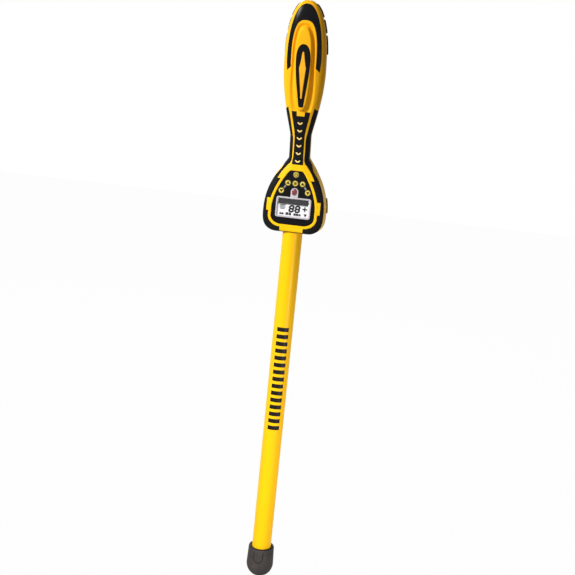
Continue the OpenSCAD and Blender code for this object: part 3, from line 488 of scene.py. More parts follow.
def halfWidth(h):
    h = np.asarray(h, float)
    low, neck, swell, bulb = head["footHigh"], head["neckLow"], head["neckHigh"], head["bulbAt"]
    power = head["footPower"]
    foot = head["housingWidth"] / 2 * (1 - np.clip((low - h) / head["footFall"], 0, 1) ** power) ** (1 / power)
    narrowing = ease((1 - over(h, low, neck)) ** head["shoulderPower"])
    shoulder = mix(head["neckWidth"], head["housingWidth"], narrowing) / 2
    grip = mix(head["neckWidth"], head["bulbWidth"], ease(over(h, swell, bulb) ** head["gripPower"])) / 2
    upper = np.where(h < bulb, grip, head["bulbWidth"] / 2 * dome(h, head["wideDome"]))
    return np.where(h < low, foot, np.where(h < neck, shoulder, upper))


def depthAt(h, front):
    h, toe = np.asarray(h, float), head["toe"]
    toeRound = np.where(h < toe, toe - np.sqrt(np.maximum(0, toe ** 2 - (toe - np.minimum(h, toe)) ** 2)), 0)
    swelling = ease(over(h, head["neckHigh"], head["bulbAt"]))
    handle = mix(head["gripDeep"], head["bulbDeep"], swelling) * dome(h, head["deepDome"])
    deep, (low, high) = (head[("front" if front else "back") + part] for part in ("Deep", "Fall"))
    return np.where(h < high, mix(deep, head["gripDeep"], ease(over(h, low, high))) - toeRound, handle)


def bluntness(h):
    return mix(head["bluntHousing"], head["bluntHandle"], ease(over(h, head["bluntFrom"], head["neckLow"])))


# raised oval of the bulb and the channel round it
oval = {"half": 13.7, "low": 207.0, "at": 285.0, "high": 339.0, "power": 2.5, "rise": 3.0, "slope": 2.0, "deep": 3.2,
        "bank": 3.5, "lip": 1.2, "lipRun": 3.2, "lowSpread": 1.6, "spreadEnds": (225, 290), "from": 196,
        "fadeEnds": (198, 210)}


def bulge(x, h):
    x, h = np.asarray(x, float), np.asarray(h, float)
    p, upper = oval["power"], h > oval["at"]
    tall = np.where(upper, oval["high"] - oval["at"], oval["at"] - oval["low"])
    across, along = np.abs(x) / oval["half"], np.abs(h - oval["at"]) / tall
    reach = np.maximum((across ** p + along ** p) ** (1 / p), 1e-6)
    steep = np.hypot((across / reach) ** (p - 1) / oval["half"], (along / reach) ** (p - 1) / tall)
    spreading = ease(over(h, *oval["spreadEnds"]))
    away = (reach - 1) / np.maximum(steep, 1e-6) / mix(oval["lowSpread"], 1, spreading)
    top = oval["rise"] * (1 - ease((away + oval["slope"]) / (2 * oval["slope"])))
    bank = 1 - ease((away - oval["slope"]) / oval["bank"])
    channel = oval["deep"] * ease((away + oval["lip"]) / oval["lipRun"]) * bank
    return np.where(h < oval["from"], 0, (top - channel) * ease(over(h, *oval["fadeEnds"])))


def faceAt(x, h, front=True):
    n = bluntness(h)
    swell = np.maximum(0, 1 - (np.abs(x) / np.maximum(halfWidth(h), 0.01)) ** n) ** (1 / n)
    return depthAt(h, front) * swell + (bulge(x, h) if front else 0)


def bend(points):
    # from (x, depth, level along the handle) to the frame, in mm
    p = np.asarray(points, float)
    lean = math.radians(head["lean"])
    radius = (head["bendHigh"] - head["bendLow"]) / lean
    h = p[..., 2]
    a = lean * over(h, head["bendLow"], head["bendHigh"])
    beyond = np.maximum(0, h - head["bendHigh"])
    y = -radius * (1 - np.cos(a)) - beyond * math.sin(lean) + p[..., 1] * np.cos(a)
    z = head["base"] + np.minimum(h, head["bendLow"]) + radius * np.sin(a) + beyond * math.cos(lean)
    return np.stack([p[..., 0], y, z + p[..., 1] * np.sin(a)], axis=-1)


def quarterCurve(h, front, out=0.0, steps=90):
    # one quarter of a cross-section, from the parting line to the middle of the face
    n = float(bluntness(h))
    w = max(0.06, float(halfWidth(h)) + out)
    d = max(0.06, float(depthAt(h, front)) + out)
    turn = 0.5 ** (1 / n)
    sideY = np.linspace(0, turn, steps)
    faceX = np.linspace(turn, 0, steps)[1:]
    x = np.concatenate([w * (1 - sideY ** n) ** (1 / n), w * faceX])
    y = np.concatenate([d * sideY, d * (1 - faceX ** n) ** (1 / n)])
    if front:
        y = y + bulge(x, np.full_like(x, h))
    length = np.concatenate([[0], np.cumsum(np.hypot(np.diff(x), np.diff(y)))])
    return x, y, length


def sectionRow(h, front, out, cols):
    # a whole cross-section from the right edge to the left, with a rounded seam at both ends
    x, y, length = quarterCurve(h, front, out)
    total = length[-1]
    soft = head["seamRound"] * min(1.0, float(halfWidth(h)) / 6)
    at = np.concatenate([[0, 0.3 * soft, 0.65 * soft, soft], np.linspace(soft, total, cols)[1:]])
    px, py = np.interp(at, length, x), np.interp(at, length, y)
    near = np.clip(1 - at / max(soft, 1e-6), 0, 1)
    px = px - soft * (1 - np.sqrt(1 - near ** 2)) * 0.9
    py = py + head["seamGap"]
    right = np.stack([px, py], axis=1)
    left = right[:-1][::-1] * [-1, 1]
    row = np.concatenate([right, left])
    side = -1 if front else 1
    return np.stack([row[:, 0], side * row[:, 1], np.full(len(row), float(h))], axis=1)


headLevels = np.concatenate([
    head["toe"] - head["toe"] * np.cos(np.radians(np.linspace(0, 90, 9))), np.arange(7, 273, 1.9),
    head["bulbAt"] + (head["top"] - head["bulbAt"]) * np.sin(np.radians(np.linspace(0, 89.2, 62)))])


def shellShape(front, wall, cols, innerCols):
    # one half of the head as a closed shell with a solid floor
    outer = np.array([bend(sectionRow(h, front, 0.0, cols)) for h in headLevels])
    first = int(np.argmax(headLevels > head["floor"]))
    top = len(headLevels) - 4
    inner = np.array([bend(sectionRow(h, front, -wall, innerCols)) for h in headLevels[first:top]])
    rows, width = outer.shape[:2]
    inRows, inWidth = inner.shape[:2]
    start = rows * width
    faces = gridFaces(rows, width, False) + [f[::-1] for f in gridFaces(inRows, inWidth, False, start)]
    o = lambda i, j: i * width + j
    n = lambda i, j: start + i * inWidth + j
    for i in range(inRows - 1):
        k = first + i
        faces.append((o(k, 0), o(k + 1, 0), n(i + 1, 0), n(i, 0)))
        faces.append((o(k, width - 1), n(i, inWidth - 1), n(i + 1, inWidth - 1), o(k + 1, width - 1)))
    faces.append(tuple(o(0, j) for j in range(width))[::-1])
    faces.append(tuple(n(0, j) for j in range(inWidth)))
    faces.append(tuple(n(inRows - 1, j) for j in range(inWidth))[::-1])
    faces.append(tuple(o(rows - 1, j) for j in range(width)))
    low = [o(k, 0) for k in range(first + 1)] + [n(0, 0), n(0, inWidth - 1)]
    low += [o(k, width - 1) for k in range(first, -1, -1)]
    faces.append(tuple(low))
    last = first + inRows - 1
    high = [n(inRows - 1, 0)] + [o(k, 0) for k in range(last, rows)]
    high += [o(k, width - 1) for k in range(rows - 1, last - 1, -1)] + [n(inRows - 1, inWidth - 1)]
    faces.append(tuple(high))
    return np.concatenate([outer.reshape(-1, 3), inner.reshape(-1, 3)]), faces


def seated(shape, handle=True):
    # along the leaning handle, or straight up from the housing's base
    points, faces = shape
    return (bend(points) if handle else points + [0, 0, head["base"]]), faces


def prismShape(loop, low, high, handle=True):
    # an upright prism along the depth axis, for cutting
    return seated(loftShape([[(x, y, h) for x, h in loop] for y in (low, high)]), handle)


def barShape(r, low, high, at, handle=False):
    return prismShape(circleLoop(r, at), low, high, handle)


def skinRing(x, h, up, down, front=True):
    # a strip of points over the skin and back under it, as one ring
    skin, side = faceAt(x, h, front), -1 if front else 1
    upper = np.stack([x, side * (skin + up), h], axis=1)
    lower = np.stack([x, side * (skin - down), h], axis=1)
    return np.concatenate([upper, lower[::-1]])


def rolledSteps(first, last, soft, cols, steps):
    # spots from edge to edge, closer together on the rolled edges
    near = soft * np.array(steps)
    return np.concatenate([first + near, np.linspace(first + soft, last - soft, cols), last - near[::-1]])


def rollUp(away, roll):
    # 0 at an edge, rising as a quarter round to 1
    return np.sqrt(np.maximum(0, 1 - (1 - np.clip(away / roll, 0, 1)) ** 2))


def outward(x, y, w, d, n):
    # unit normal of a cross-section
    nx, ny = (np.abs(x) / w) ** (n - 1) / w, (np.maximum(y, 0) / d) ** (n - 1) / d
    size = np.maximum(np.hypot(nx, ny), 1e-9)
    return nx / size, ny / size


# outline of the keypad panel

panel = {"low": 13.0, "corner": 14.0, "straight": 13.0, "high": 104.5, "wide": 37.0, "foot": 19.0, "head": 10.3,
         "taperPower": 1.75, "top": -20.5, "thick": 1.3, "bevel": 0.25, "frameProud": 0.55}


def panelHalf(h):
    h = np.asarray(h, float)
    curve = panel["low"] + panel["corner"]
    taper = curve + panel["straight"]
    rounding = np.sqrt(np.maximum(0, 1 - (np.maximum(0, curve - h) / panel["corner"]) ** 2))
    low = mix(panel["foot"], panel["wide"], rounding)
    high = mix(panel["head"], panel["wide"], 1 - over(h, taper, panel["high"]) ** panel["taperPower"])
    return np.where(h < curve, low, np.where(h < taper, panel["wide"], high))


def panelLoop(steps=40):
    curve = panel["low"] + panel["corner"]
    levels = np.concatenate([curve - panel["corner"] * np.cos(np.radians(np.linspace(0, 90, 18))),
                             np.linspace(curve + panel["straight"], panel["high"], steps)])
    right = [(float(panelHalf(h)), float(h)) for h in levels]
    return right + [(-x, h) for x, h in right[::-1]]


def resampleLoop(loop, count):
    p = np.array(list(loop) + [loop[0]])
    length = np.concatenate([[0], np.cumsum(np.hypot(*np.diff(p, axis=0).T))])
    at = np.linspace(0, length[-1], count, endpoint=False)
    return np.stack([np.interp(at, length, p[:, 0]), np.interp(at, length, p[:, 1])], axis=1)


def offsetLoop(points, distance):
    # moves a closed counter-clockwise loop outwards along its own normals
    ahead, behind = np.roll(points, -1, axis=0), np.roll(points, 1, axis=0)
    along = ahead - behind
    normal = np.stack([along[:, 1], -along[:, 0]], axis=1)
    normal /= np.maximum(np.linalg.norm(normal, axis=1, keepdims=True), 1e-9)
    return points + normal * distance


# yellow shells of the head

shellCut = {"outside": 40.0, "wayOut": 60.0, "seat": 19.15, "seatGap": 0.15, "openBack": 15.0, "openInset": 1.6,
            "openLow": 24.0}
frontShell = makePiece("frontShell", [shellShape(True, head["frontWall"], 72, 24)], ["yellowShell"])
seatLoop = offsetLoop(resampleLoop(panelLoop(), 200), shellCut["seatGap"])
openLoop = offsetLoop(resampleLoop(panelLoop(), 120), -shellCut["openInset"])
openLoop = openLoop[openLoop[:, 1] > shellCut["openLow"]]
cutWith(frontShell, [
    makePiece(name, [prismShape(loop, -shellCut["outside"], -back, False)], ["yellowShell"])
    for name, loop, back in (("panelCut", seatLoop, shellCut["seat"]), ("openCut", openLoop, shellCut["openBack"]))])
settle(frontShell, "yellow_shell", "front_shell")
print("front shell done")

# raised yellow frame round the keypad panel: away from its edge, and height over the skin
frameSteps = ((0.05, -1.8), (0.05, 0.05), (0.2, 0.35), (0.6, 0.52), (1.4, 0.6), (2.6, 0.6), (3.6, 0.5), (4.2, 0.3),
              (4.5, -0.05), (4.55, -0.8), (2.0, -1.9))
frameLoop = resampleLoop(panelLoop(), 260)
frameRings = []
for away, lift in frameSteps:
    ring = offsetLoop(frameLoop, away)
    skin = faceAt(ring[:, 0], np.maximum(ring[:, 1], head["toe"]))
    frameRings.append(np.stack([ring[:, 0], -skin - lift * panel["frameProud"] / 0.6, ring[:, 1]], axis=1))
framePiece = makePiece("panelFrame", [seated(loopShape(frameRings))], ["yellowShell"])
settle(framePiece, "yellow_shell")
print("panel frame done")

battery = {"doorLow": 205.0, "doorHigh": 321.5, "doorHalf": 22.6, "doorEdge": 6.0, "doorThick": 2.2, "slit": 0.35,
           "swing": 1.7, "slotHalf": 10.4, "slotLow": 225.0, "slotHigh": 331.1, "hingeAt": 328.0, "hingeUnder": 3.6,
           "knuckle": 2.3, "knuckleHalf": 10.0, "lug": 2.4, "lugFrom": 10.75, "lugWide": 3.6, "knobAt": 212.0,
           "knobSeat": 16.6, "knobRound": 6.5, "knobTall": 4.0, "knurls": 20, "doorCut": 1.0, "slotCut": 2.0}
hingeDeep = float(depthAt(battery["hingeAt"], False)) - battery["hingeUnder"]


def doorHalf(h):
    return np.minimum(battery["doorHalf"], halfWidth(h) - battery["doorEdge"])


def doorLoop():
    levels = np.linspace(battery["doorLow"], battery["doorHigh"], 40)
    shown = levels.copy()
    shown[0] -= battery["slit"]
    shown[-1] += battery["swing"]
    right = [(float(doorHalf(a)) + battery["slit"], float(b)) for a, b in zip(levels, shown)]
    return right + [(-x, h) for x, h in right[::-1]]


# closing screws on each side: across and level, the depth of the seat and of the well's outer end
closing = {"housing": [(44.0, 20.5), (38.0, 71.0)], "housingSeat": 17.0, "housingRim": 20.6,
           "handle": [(13.5, 194.0), (13.5, 347.0)], "handleSeat": 10.5, "handleRim": 12.0, "well": 3.1,
           "wellWall": 1.7, "wellUnder": 1.5, "headRound": 2.8, "headTall": 2.35, "tubeScrew": 15.0, "tubeSeat": 20.6}
screwGroups = (("housing", False), ("handle", True))
rest = {"front": 20.6, "deep": 22.6, "at": 46.0, "wide": 64.0, "tall": 68.0, "corner": 8.0, "grilleAt": 56.0,
        "speaker": 14.6, "speakerCut": 12.0, "hole": 1.1, "pitch": 4.2, "rings": 3, "bevel": 0.3}

rearShell = makePiece("rearShell", [shellShape(False, head["backWall"], 56, 24)], ["yellowShell"])
hingeLoop = [(side * battery["slotHalf"], battery[level]) for side, level in
             ((1, "slotLow"), (1, "slotHigh"), (-1, "slotHigh"), (-1, "slotLow"))]
rearCuts = [prismShape(doorLoop(), battery["doorCut"], shellCut["wayOut"]),
            prismShape(hingeLoop, battery["slotCut"], shellCut["outside"])]
for side in (-1, 1):
    for group, onHandle in screwGroups:
        rearCuts += [barShape(closing["well"], closing[group + "Seat"], shellCut["outside"], (side * x, h), onHandle)
                     for x, h in closing[group]]
rearCuts += [barShape(closing["well"], closing["tubeSeat"], shellCut["outside"], (0, closing["tubeScrew"])),
             barShape(rest["speaker"], rest["speakerCut"], shellCut["outside"], (0, rest["grilleAt"]))]
cutWith(rearShell, [makePiece("rearCut%d" % k, [cut], ["yellowShell"]) for k, cut in enumerate(rearCuts)])

# flat rest with its grille, screw wells and hinge lugs
grilleHoles = [circleLoop(rest["hole"], (0, rest["grilleAt"]), 18)]
for ring in range(1, rest["rings"] + 1):
    for k in range(6 * ring):
        a, reach = math.radians(60.0 / ring * k), rest["pitch"] * ring
        grilleHoles.append(circleLoop(rest["hole"], (reach * math.sin(a), rest["grilleAt"] + reach * math.cos(a)), 18))
restLoops = [roundedLoop(rest["wide"], rest["tall"], rest["corner"], (0, rest["at"])),
             circleLoop(closing["well"], (0, closing["tubeScrew"]), 32)] + grilleHoles
rearExtras = [plateShape(restLoops, rest["front"], rest["deep"], rest["bevel"], head["base"])]


def wellShape(r, wall, low, high, at, handle):
    # the wall of a screw well, open at both ends
    inner, outer = (circleLoop(radius, at) for radius in (r, r + wall))
    steps = ((inner, low), (inner, high), (outer, high), (outer, low))
    return seated(loopShape([[(x, y, h) for x, h in loop] for loop, y in steps]), handle)


def hingeBar(r, low, high, segments=36):
    # a round bar on the hinge line
    turns = np.arange(segments) * 2 * math.pi / segments
    return seated(loftShape([[(x, hingeDeep + r * math.cos(t), battery["hingeAt"] + r * math.sin(t)) for t in turns]
                             for x in (low, high)]))


for side in (-1, 1):
    for group, onHandle in screwGroups:
        low, high = closing[group + "Seat"] - closing["wellUnder"], closing[group + "Rim"]
        rearExtras += [wellShape(closing["well"], closing["wellWall"], low, high, (side * x, h), onHandle)
                       for x, h in closing[group]]
    rearExtras.append(hingeBar(battery["lug"], side * battery["lugFrom"],
                               side * (battery["lugFrom"] + battery["lugWide"])))
restPiece = makePiece("rearRest", rearExtras, ["yellowShell"], 30.0)
settle(rearShell, "yellow_shell", "rear_shell")
settle(restPiece, "yellow_shell")
print("rear shell done")

# black rubber rim

rim = {"footTab": 19.6, "footHalf": 20.2, "sideTab": 45.4, "sideLow": 34.0, "sideHigh": 55.0, "shoulder": 89.0,
       "shoulderHalf": 31.0, "shoulderBare": 2.8, "rimWide": 8.4, "proud": 0.5, "deep": 0.9, "roll": 0.9,
       "cornerLow": 8.42, "cornerHigh": 27.0, "cornerTall": 18.6, "cornerX": 19.0, "cornerWide": 22.6, "panelGap": 4.6,
       "wallHousing": 0.74, "wallNeck": 0.2, "wallEnds": (96, 128), "bareIn": (88, 100), "bareOut": (106, 120),
       "under": 0.3, "neckFrom": 117.0, "neckLevels": (118.0, 125.0, 160.0, 198.0),
       "neckEdges": (13.2, 10.3, 10.3, 18.0), "tipAt": 212.0, "tipX": 21.8, "tipFoot": 205.5, "tipFootX": 28.0,
       "tipRun": 8}


def rimInner(h):
    # edge of the yellow face inside the rim, as seen from the front
    if h < rim["cornerLow"]:
        return rim["footTab"]
    if h < rim["cornerHigh"]:
        down = (rim["cornerHigh"] - h) / rim["cornerTall"]
        return max(rim["footTab"], rim["cornerX"] + rim["cornerWide"] * math.sqrt(max(0.0, 1 - down ** 2)))
    if rim["sideLow"] <= h <= rim["sideHigh"]:
        return rim["sideTab"]
    if h < rim["shoulder"]:
        return float(panelHalf(h)) + rim["panelGap"]
    if h < rim["neckFrom"]:
        return min(float(halfWidth(h)) - rim["rimWide"], rim["shoulderHalf"])
    levels = [rim["neckFrom"], *rim["neckLevels"], rim["tipAt"]]
    edges = [float(halfWidth(rim["neckFrom"])) - rim["rimWide"], *rim["neckEdges"], rim["tipX"]]
    return float(np.interp(h, levels, edges))


def rimStart(h, x, y, length):
    # where the rim ends on the side wall, and the slant of the flame tip
    wall = mix(rim["wallHousing"], rim["wallNeck"], float(ease(over(h, *rim["wallEnds"]))))
    start = np.interp(float(depthAt(h, True)) * wall, y, length)
    bare = rim["shoulderBare"] * float(ease(over(h, *rim["bareIn"])) * (1 - ease(over(h, *rim["bareOut"]))))
    if bare > 0:
        start = max(start, np.interp(bare - float(halfWidth(h)), -x, length))
    if h < rim["tipFoot"] - rim["tipRun"]:
        return start
    slant = rim["tipX"] + (rim["tipAt"] - h) / (rim["tipAt"] - rim["tipFoot"]) * (rim["tipFootX"] - rim["tipX"])
    return max(start, np.interp(-slant, -x, length))


def rimRow(h, cols=26):
    x, y, length = quarterCurve(h, True)
    first = rimStart(h, x, y, length)
    last = max(np.interp(-rimInner(h), -x, length), first + 0.02)
    span = last - first
    soft = min(rim["roll"], span * 0.45)
    at = rolledSteps(first, last, soft, cols, (0, 0.12, 0.35, 0.65))
    rise = rollUp(last - at, soft) * rollUp(at - first, soft)
    out = -rim["under"] + (rim["proud"] + rim["under"]) * rise * min(1.0, span / 1.5)
    px, py, level = np.interp(at, length, x), np.interp(at, length, y), np.full_like(at, h)
    nx, ny = outward(px, py, max(float(halfWidth(h)), 1.0), max(float(depthAt(h, True)), 1.0), float(bluntness(h)))
    upper = np.stack([px + nx * out, -(py + ny * out) - head["seamGap"], level], axis=1)
    lower = np.stack([px - nx * rim["deep"], -(py - ny * rim["deep"]) - head["seamGap"], level], axis=1)
    lower[:, 1] = np.minimum(lower[:, 1], -head["seamGap"])
    return np.concatenate([upper, lower[::-1]])


# closer together where the edge jumps
rimLevels = sorted(set(
    [0.0, 0.25, 0.7, 1.3, 2.0, 3.0, 4.2, 5.4, 6.8, 8.2] + list(np.round(np.arange(8.42, 27, 0.45), 3)) +
    list(np.arange(27, 33.9, 0.9)) + [33.7, 33.99, 34.0, 34.3] + list(np.arange(35, 54.5, 1.2)) +
    [54.7, 55.0, 55.01, 55.3] + list(np.arange(56, 88.5, 1.0)) + [88.7, 88.99, 89.0, 89.3] +
    list(np.arange(90, 198, 1.0)) + list(np.arange(198, 206, 0.6)) + list(np.linspace(206, 211.9, 14))))
rightRim = np.array([rimRow(h) for h in rimLevels])
rimShapes = [loftShape(bend(rightRim * [side, 1, 1])) for side in (1, -1)]
footX = np.linspace(-rim["footHalf"], rim["footHalf"], 41)
footRings = [skinRing(footX, np.full_like(footX, h), out, 0.6)
             for h, out in ((0.0, 0.1), (0.3, 0.42), (0.9, 0.5), (1.35, 0.4), (1.6, -0.1))]
rimShapes.append(loftShape(bend(np.array(footRings))))
rimPiece = makePiece("rubberRim", rimShapes, ["blackRubber"], 50.0)
settle(rimPiece, "black_rubber", "front_bumper")
print("rubber rim done")


# inlays on the front of the handle

def slabShape(rows, up, down=0.7, roll=0.7, cols=14):
    # a proud slab with rolled edges: rows of two end points (x, level)
    rows = np.asarray(rows, float)
    run = np.concatenate([[0], np.cumsum(np.linalg.norm(np.diff(rows.mean(axis=1), axis=0), axis=1))])
    rings = []
    for i, (a, b) in enumerate(rows):
        span = max(float(np.linalg.norm(b - a)), 0.02)
        at = rolledSteps(0, span, min(roll, span * 0.48), cols, (0, 0.1, 0.3, 0.6))
        spots = a + (b - a) * (at / span)[:, None]
        away = np.minimum(np.minimum(at, span - at), max(0.0, min(run[i], run[-1] - run[i])))
        rings.append(skinRing(spots[:, 0], spots[:, 1], -0.25 + (up + 0.25) * rollUp(away, roll), down))
    return loftShape(bend(np.array(rings)))


# horseshoe: half width, height over its level and power of both edges, and the corners of its slanted ends
crown = {"at": 285.0, "out": (28.0, 88.5, 2.2), "inside": (20.4, 63.8, 2.8), "endOut": (26.6, 269.0),
         "endIn": (20.0, 276.0), "proud": 0.35}


def crownEdge(a, w, tall, power):
    return (w * math.copysign(abs(math.sin(a)) ** (2 / power), a), crown["at"] + tall * abs(math.cos(a)) ** (2 / power))


crownRows = []
for t in np.linspace(0, 1, 12):
    crownRows.append([mix(np.array(crown[end]), np.array([crown[edge][0], crown["at"]]), t) * [-1, 1]
                      for end, edge in (("endOut", "out"), ("endIn", "inside"))])
for t in np.linspace(-90, 90, 122)[1:-1]:
    a = math.radians(t)
    crownRows.append((crownEdge(a, *crown["out"]), crownEdge(a, *crown["inside"])))
crownRows += [(r[0] * [-1, 1], r[1] * [-1, 1]) for r in crownRows[:12][::-1]]
crownPiece = makePiece("crownInlay", [slabShape(crownRows, crown["proud"], cols=16)], ["blackGloss"], 50.0)
settle(crownPiece, "black_gloss", "crown_inlay")


def mirrorRows(half, levels):
    # level rows that reach as far to the left as to the right
    return [((-half(h), h), (half(h), h)) for h in levels]


tear = {"low": 212.5, "wide": 288.5, "high": 313.4, "half": 11.9, "tail": 3.2, "tailRound": 2.4, "tailUnder": 12.0,
        "swell": 0.8, "power": 2.3, "proud": 0.35}


def tearHalf(h):
    # a long swell with a blunt rounded tail, closed by a dome
    tail = math.sqrt(max(0.02, 1 - max(0.0, 1 - (h - tear["low"]) / tear["tailRound"]) ** 2))
    if h < tear["wide"]:
        swell = float(ease(over(h, tear["low"] - tear["tailUnder"], tear["wide"]))) ** tear["swell"]
        return mix(tear["tail"], tear["half"], swell) * tail
    fall = float(over(h, tear["wide"], tear["high"])) ** tear["power"]
    return tear["half"] * max(0.0004, 1 - fall) ** (1 / tear["power"]) * tail


tearLevels = list(np.linspace(tear["low"], tear["wide"], 60))
tearLevels += [tear["wide"] + (tear["high"] - tear["wide"]) * math.sin(math.radians(a)) for a in np.linspace(3, 90, 30)]
tearRows = mirrorRows(tearHalf, tearLevels)
tearPiece = makePiece("teardropInlay", [slabShape(tearRows, tear["proud"], cols=16)], ["blackGloss"], 50.0)
settle(tearPiece, "black_gloss", "teardrop_inlay")

blade = {"low": 227.0, "wide": 276.0, "high": 302.0, "half": 5.8, "tip": 1.3, "swell": 1.2, "fall": 0.8, "proud": 0.9}


def bladeHalf(h):
    if h < blade["wide"]:
        return mix(blade["tip"], blade["half"], float(over(h, blade["low"], blade["wide"])) ** blade["swell"])
    return mix(blade["half"], blade["tip"], float(over(h, blade["wide"], blade["high"])) ** blade["fall"])


bladeRows = mirrorRows(bladeHalf, np.linspace(blade["low"], blade["high"], 90))
bladePiece = makePiece("bladeInsert", [slabShape(bladeRows, blade["proud"], roll=0.9, cols=12)], ["yellowTrim"], 50.0)
settle(bladePiece, "yellow_trim", "blade_insert")

strip = {"low": 116.5, "high": 205.5, "footHalf": 9.6, "footEnd": 136.0, "half": 8.4, "flare": 7.6, "flareFrom": 160.0,
         "flareOver": 8, "notch": 198.7, "notchHalf": 6.2, "prongLean": 0.6, "prongTall": 7, "proud": 0.45,
         "chevrons": 6, "chevronLow": 123.4, "chevronStep": 12.55, "chevronProud": 0.35, "chevronCrown": 0.0098}


def stripHalf(h):
    foot = mix(strip["footHalf"], strip["half"], float(ease(over(h, strip["low"], strip["footEnd"]))))
    return foot + strip["flare"] * float(ease(over(h, strip["flareFrom"], strip["high"] + strip["flareOver"])))


stripRows = mirrorRows(stripHalf, np.linspace(strip["low"], strip["notch"], 70))
stripShapes = [slabShape(stripRows, strip["proud"], cols=18)]
for side in (-1, 1):
    prong = []
    for h in np.linspace(strip["notch"] - 1.6, strip["high"], 22):
        inner = strip["notchHalf"] + strip["prongLean"] * (h - strip["notch"]) / strip["prongTall"]
        prong.append(((side * stripHalf(h), h), (side * inner, h)))
    stripShapes.append(slabShape(prong, strip["proud"], cols=8))
stripPiece = makePiece("neckStrip", stripShapes, ["blackGrip"], 50.0)
settle(stripPiece, "black_grip", "neck_strip")


def softPolygon(corners, r, steps=4):
    # rounds the corners of a small outline
    loop = []
    pts = [Vector(c) for c in corners]
    for k, p in enumerate(pts):
        a, b = pts[k - 1], pts[(k + 1) % len(pts)]
        ra = min(r, (a - p).length * 0.45)
        rb = min(r, (b - p).length * 0.45)
        start, stop = p + (a - p).normalized() * ra, p + (b - p).normalized() * rb
        for s in range(steps + 1):
            t = s / steps
            loop.append(tuple((start * (1 - t) ** 2 + p * (2 * t * (1 - t)) + stop * t ** 2)[:]))
    return loop


chevronHalf = [(2.7, -1.0), (4.2, 0.8), (4.2, 2.1), (2.6, 2.1)]
chevronLoop = softPolygon([(0, -2.2), *chevronHalf, (0, 0.1), *[(-x, h) for x, h in chevronHalf[::-1]]], 0.6)
chevronShape = plateShape([chevronLoop], -strip["chevronProud"] - 0.2, 0.5, 0.22)
chevronPoints = np.array(chevronShape[0])
chevronPoints[:, 1] += strip["chevronCrown"] * chevronPoints[:, 0] ** 2  # follows the strip's crown
chevronPlaces, chevronTurns = [], []
for k in range(strip["chevrons"]):
    h = strip["chevronLow"] + strip["chevronStep"] * k
    slope = math.atan2(float(faceAt(0, h + 2)) - float(faceAt(0, h - 2)), 4.0)
    chevronPlaces.append(bend(np.array([0, -float(faceAt(0, h)) - strip["proud"] * 0.6, h])))
    chevronTurns.append((math.radians(head["lean"]) * float(over(h, head["bendLow"], head["bendHigh"])) + slope, 0, 0))
chevronPiece = repeatAt("chevrons", (chevronPoints, chevronShape[1]), chevronPlaces, chevronTurns, "paleTrim")
settle(chevronPiece, "yellow_trim", "chevrons")
print("inlays done")


# rubber pads on the rear edges

def padShape(low, high, turnLow, turnHigh, side, proud, roll=1.6, rows=22, cols=22):
    # wraps round the back edge of the head between two levels and two turns
    rings = []
    for i in range(rows):
        v = 0.5 - 0.5 * math.cos(math.pi * i / (rows - 1))
        h = mix(low, high, v)
        w, d, n = float(halfWidth(h)), float(depthAt(h, False)), float(bluntness(h))
        turns = np.radians(turnLow + (turnHigh - turnLow) * (0.5 - 0.5 * np.cos(np.linspace(0, math.pi, cols))))
        x, y = w * np.cos(turns) ** (2 / n), d * np.sin(turns) ** (2 / n)
        run = np.concatenate([[0], np.cumsum(np.hypot(np.diff(x), np.diff(y)))])
        away = np.minimum(np.minimum(run, run[-1] - run), min(v, 1 - v) * (high - low))
        nx, ny = outward(x, y, w, d, n)
        upper, lower = (np.stack([side * (x + nx * out), y + ny * out, np.full_like(x, h)], axis=1)
                        for out in (-0.2 + (proud + 0.2) * rollUp(away, roll), -0.9))
        rings.append(np.concatenate([upper, lower[::-1]]))
    return loftShape(bend(np.array(rings)))


# levels and turns of each pad
pads = {"housing": [(36, 62, 8, 42)], "housingProud": 2.0,
        "bulb": [(353, 373, 5, 60), (329, 350, 5, 52), (296, 326, 5, 44)], "bulbProud": 2.2}
for padName, slotNode in (("housing", "housing_bumpers"), ("bulb", "bulb_bumpers")):
    shapes = [padShape(*p, side, pads[padName + "Proud"]) for p in pads[padName] for side in (1, -1)]
    padPiece = makePiece(padName + "Pads", shapes, ["blackRubber"], 60.0)
    settle(padPiece, "black_rubber", slotNode)
print("rubber pads done")

# keypad panel, bezel, window and lamp

display = {"at": 42.0, "wide": 56.0, "tall": 31.0, "rim": 1.7, "corner": 4.0, "tab": 6.4, "tabRise": 0.6,
           "lampAt": 68.0, "lampHalf": 4.0, "lampTall": 1.4, "gap": 0.15, "bezelTop": -20.9, "bezelBack": -18.9,
           "windowTop": -20.7, "windowBack": -19.55, "face": -18.85, "opening": (1.6, 2.6), "pane": (1.8, 2.5)}
keySpots = {"power": (0.0, 97.0), "centre": (0.0, 82.6), "left_upper": (-12.4, 82.6), "left_lower": (-22.4, 69.0),
            "right_upper": (12.4, 82.6), "right_lower": (22.4, 69.0)}
keyCap = {"round": 5.3, "gap": 0.3, "top": -22.0, "back": -18.1, "flange": 0.5, "flangeTop": -18.9, "disc": 4.1}


def arcLoop(r, at, first, last, steps):
    turns = [math.radians(first + (last - first) * k / steps) for k in range(steps + 1)]
    return [(at[0] + r * math.cos(a), at[1] + r * math.sin(a)) for a in turns]


def bezelLoop(grow=0.0):
    # a rounded rectangle with an arched tab for the lamp
    w, h = display["wide"] / 2 + display["rim"] + grow, display["tall"] / 2 + display["rim"] + grow
    body = roundedLoop(2 * w, 2 * h, display["corner"], (0, display["at"]))
    split = next(k for k, p in enumerate(body) if p[0] < 0 and p[1] > display["at"])
    tab, foot = display["tab"] + grow, display["at"] + h
    arch = arcLoop(tab, (0, display["lampAt"] + display["tabRise"]), 0, 180, 20)
    return body[:split] + [(tab, foot)] + arch + [(-tab, foot)] + body[split:]


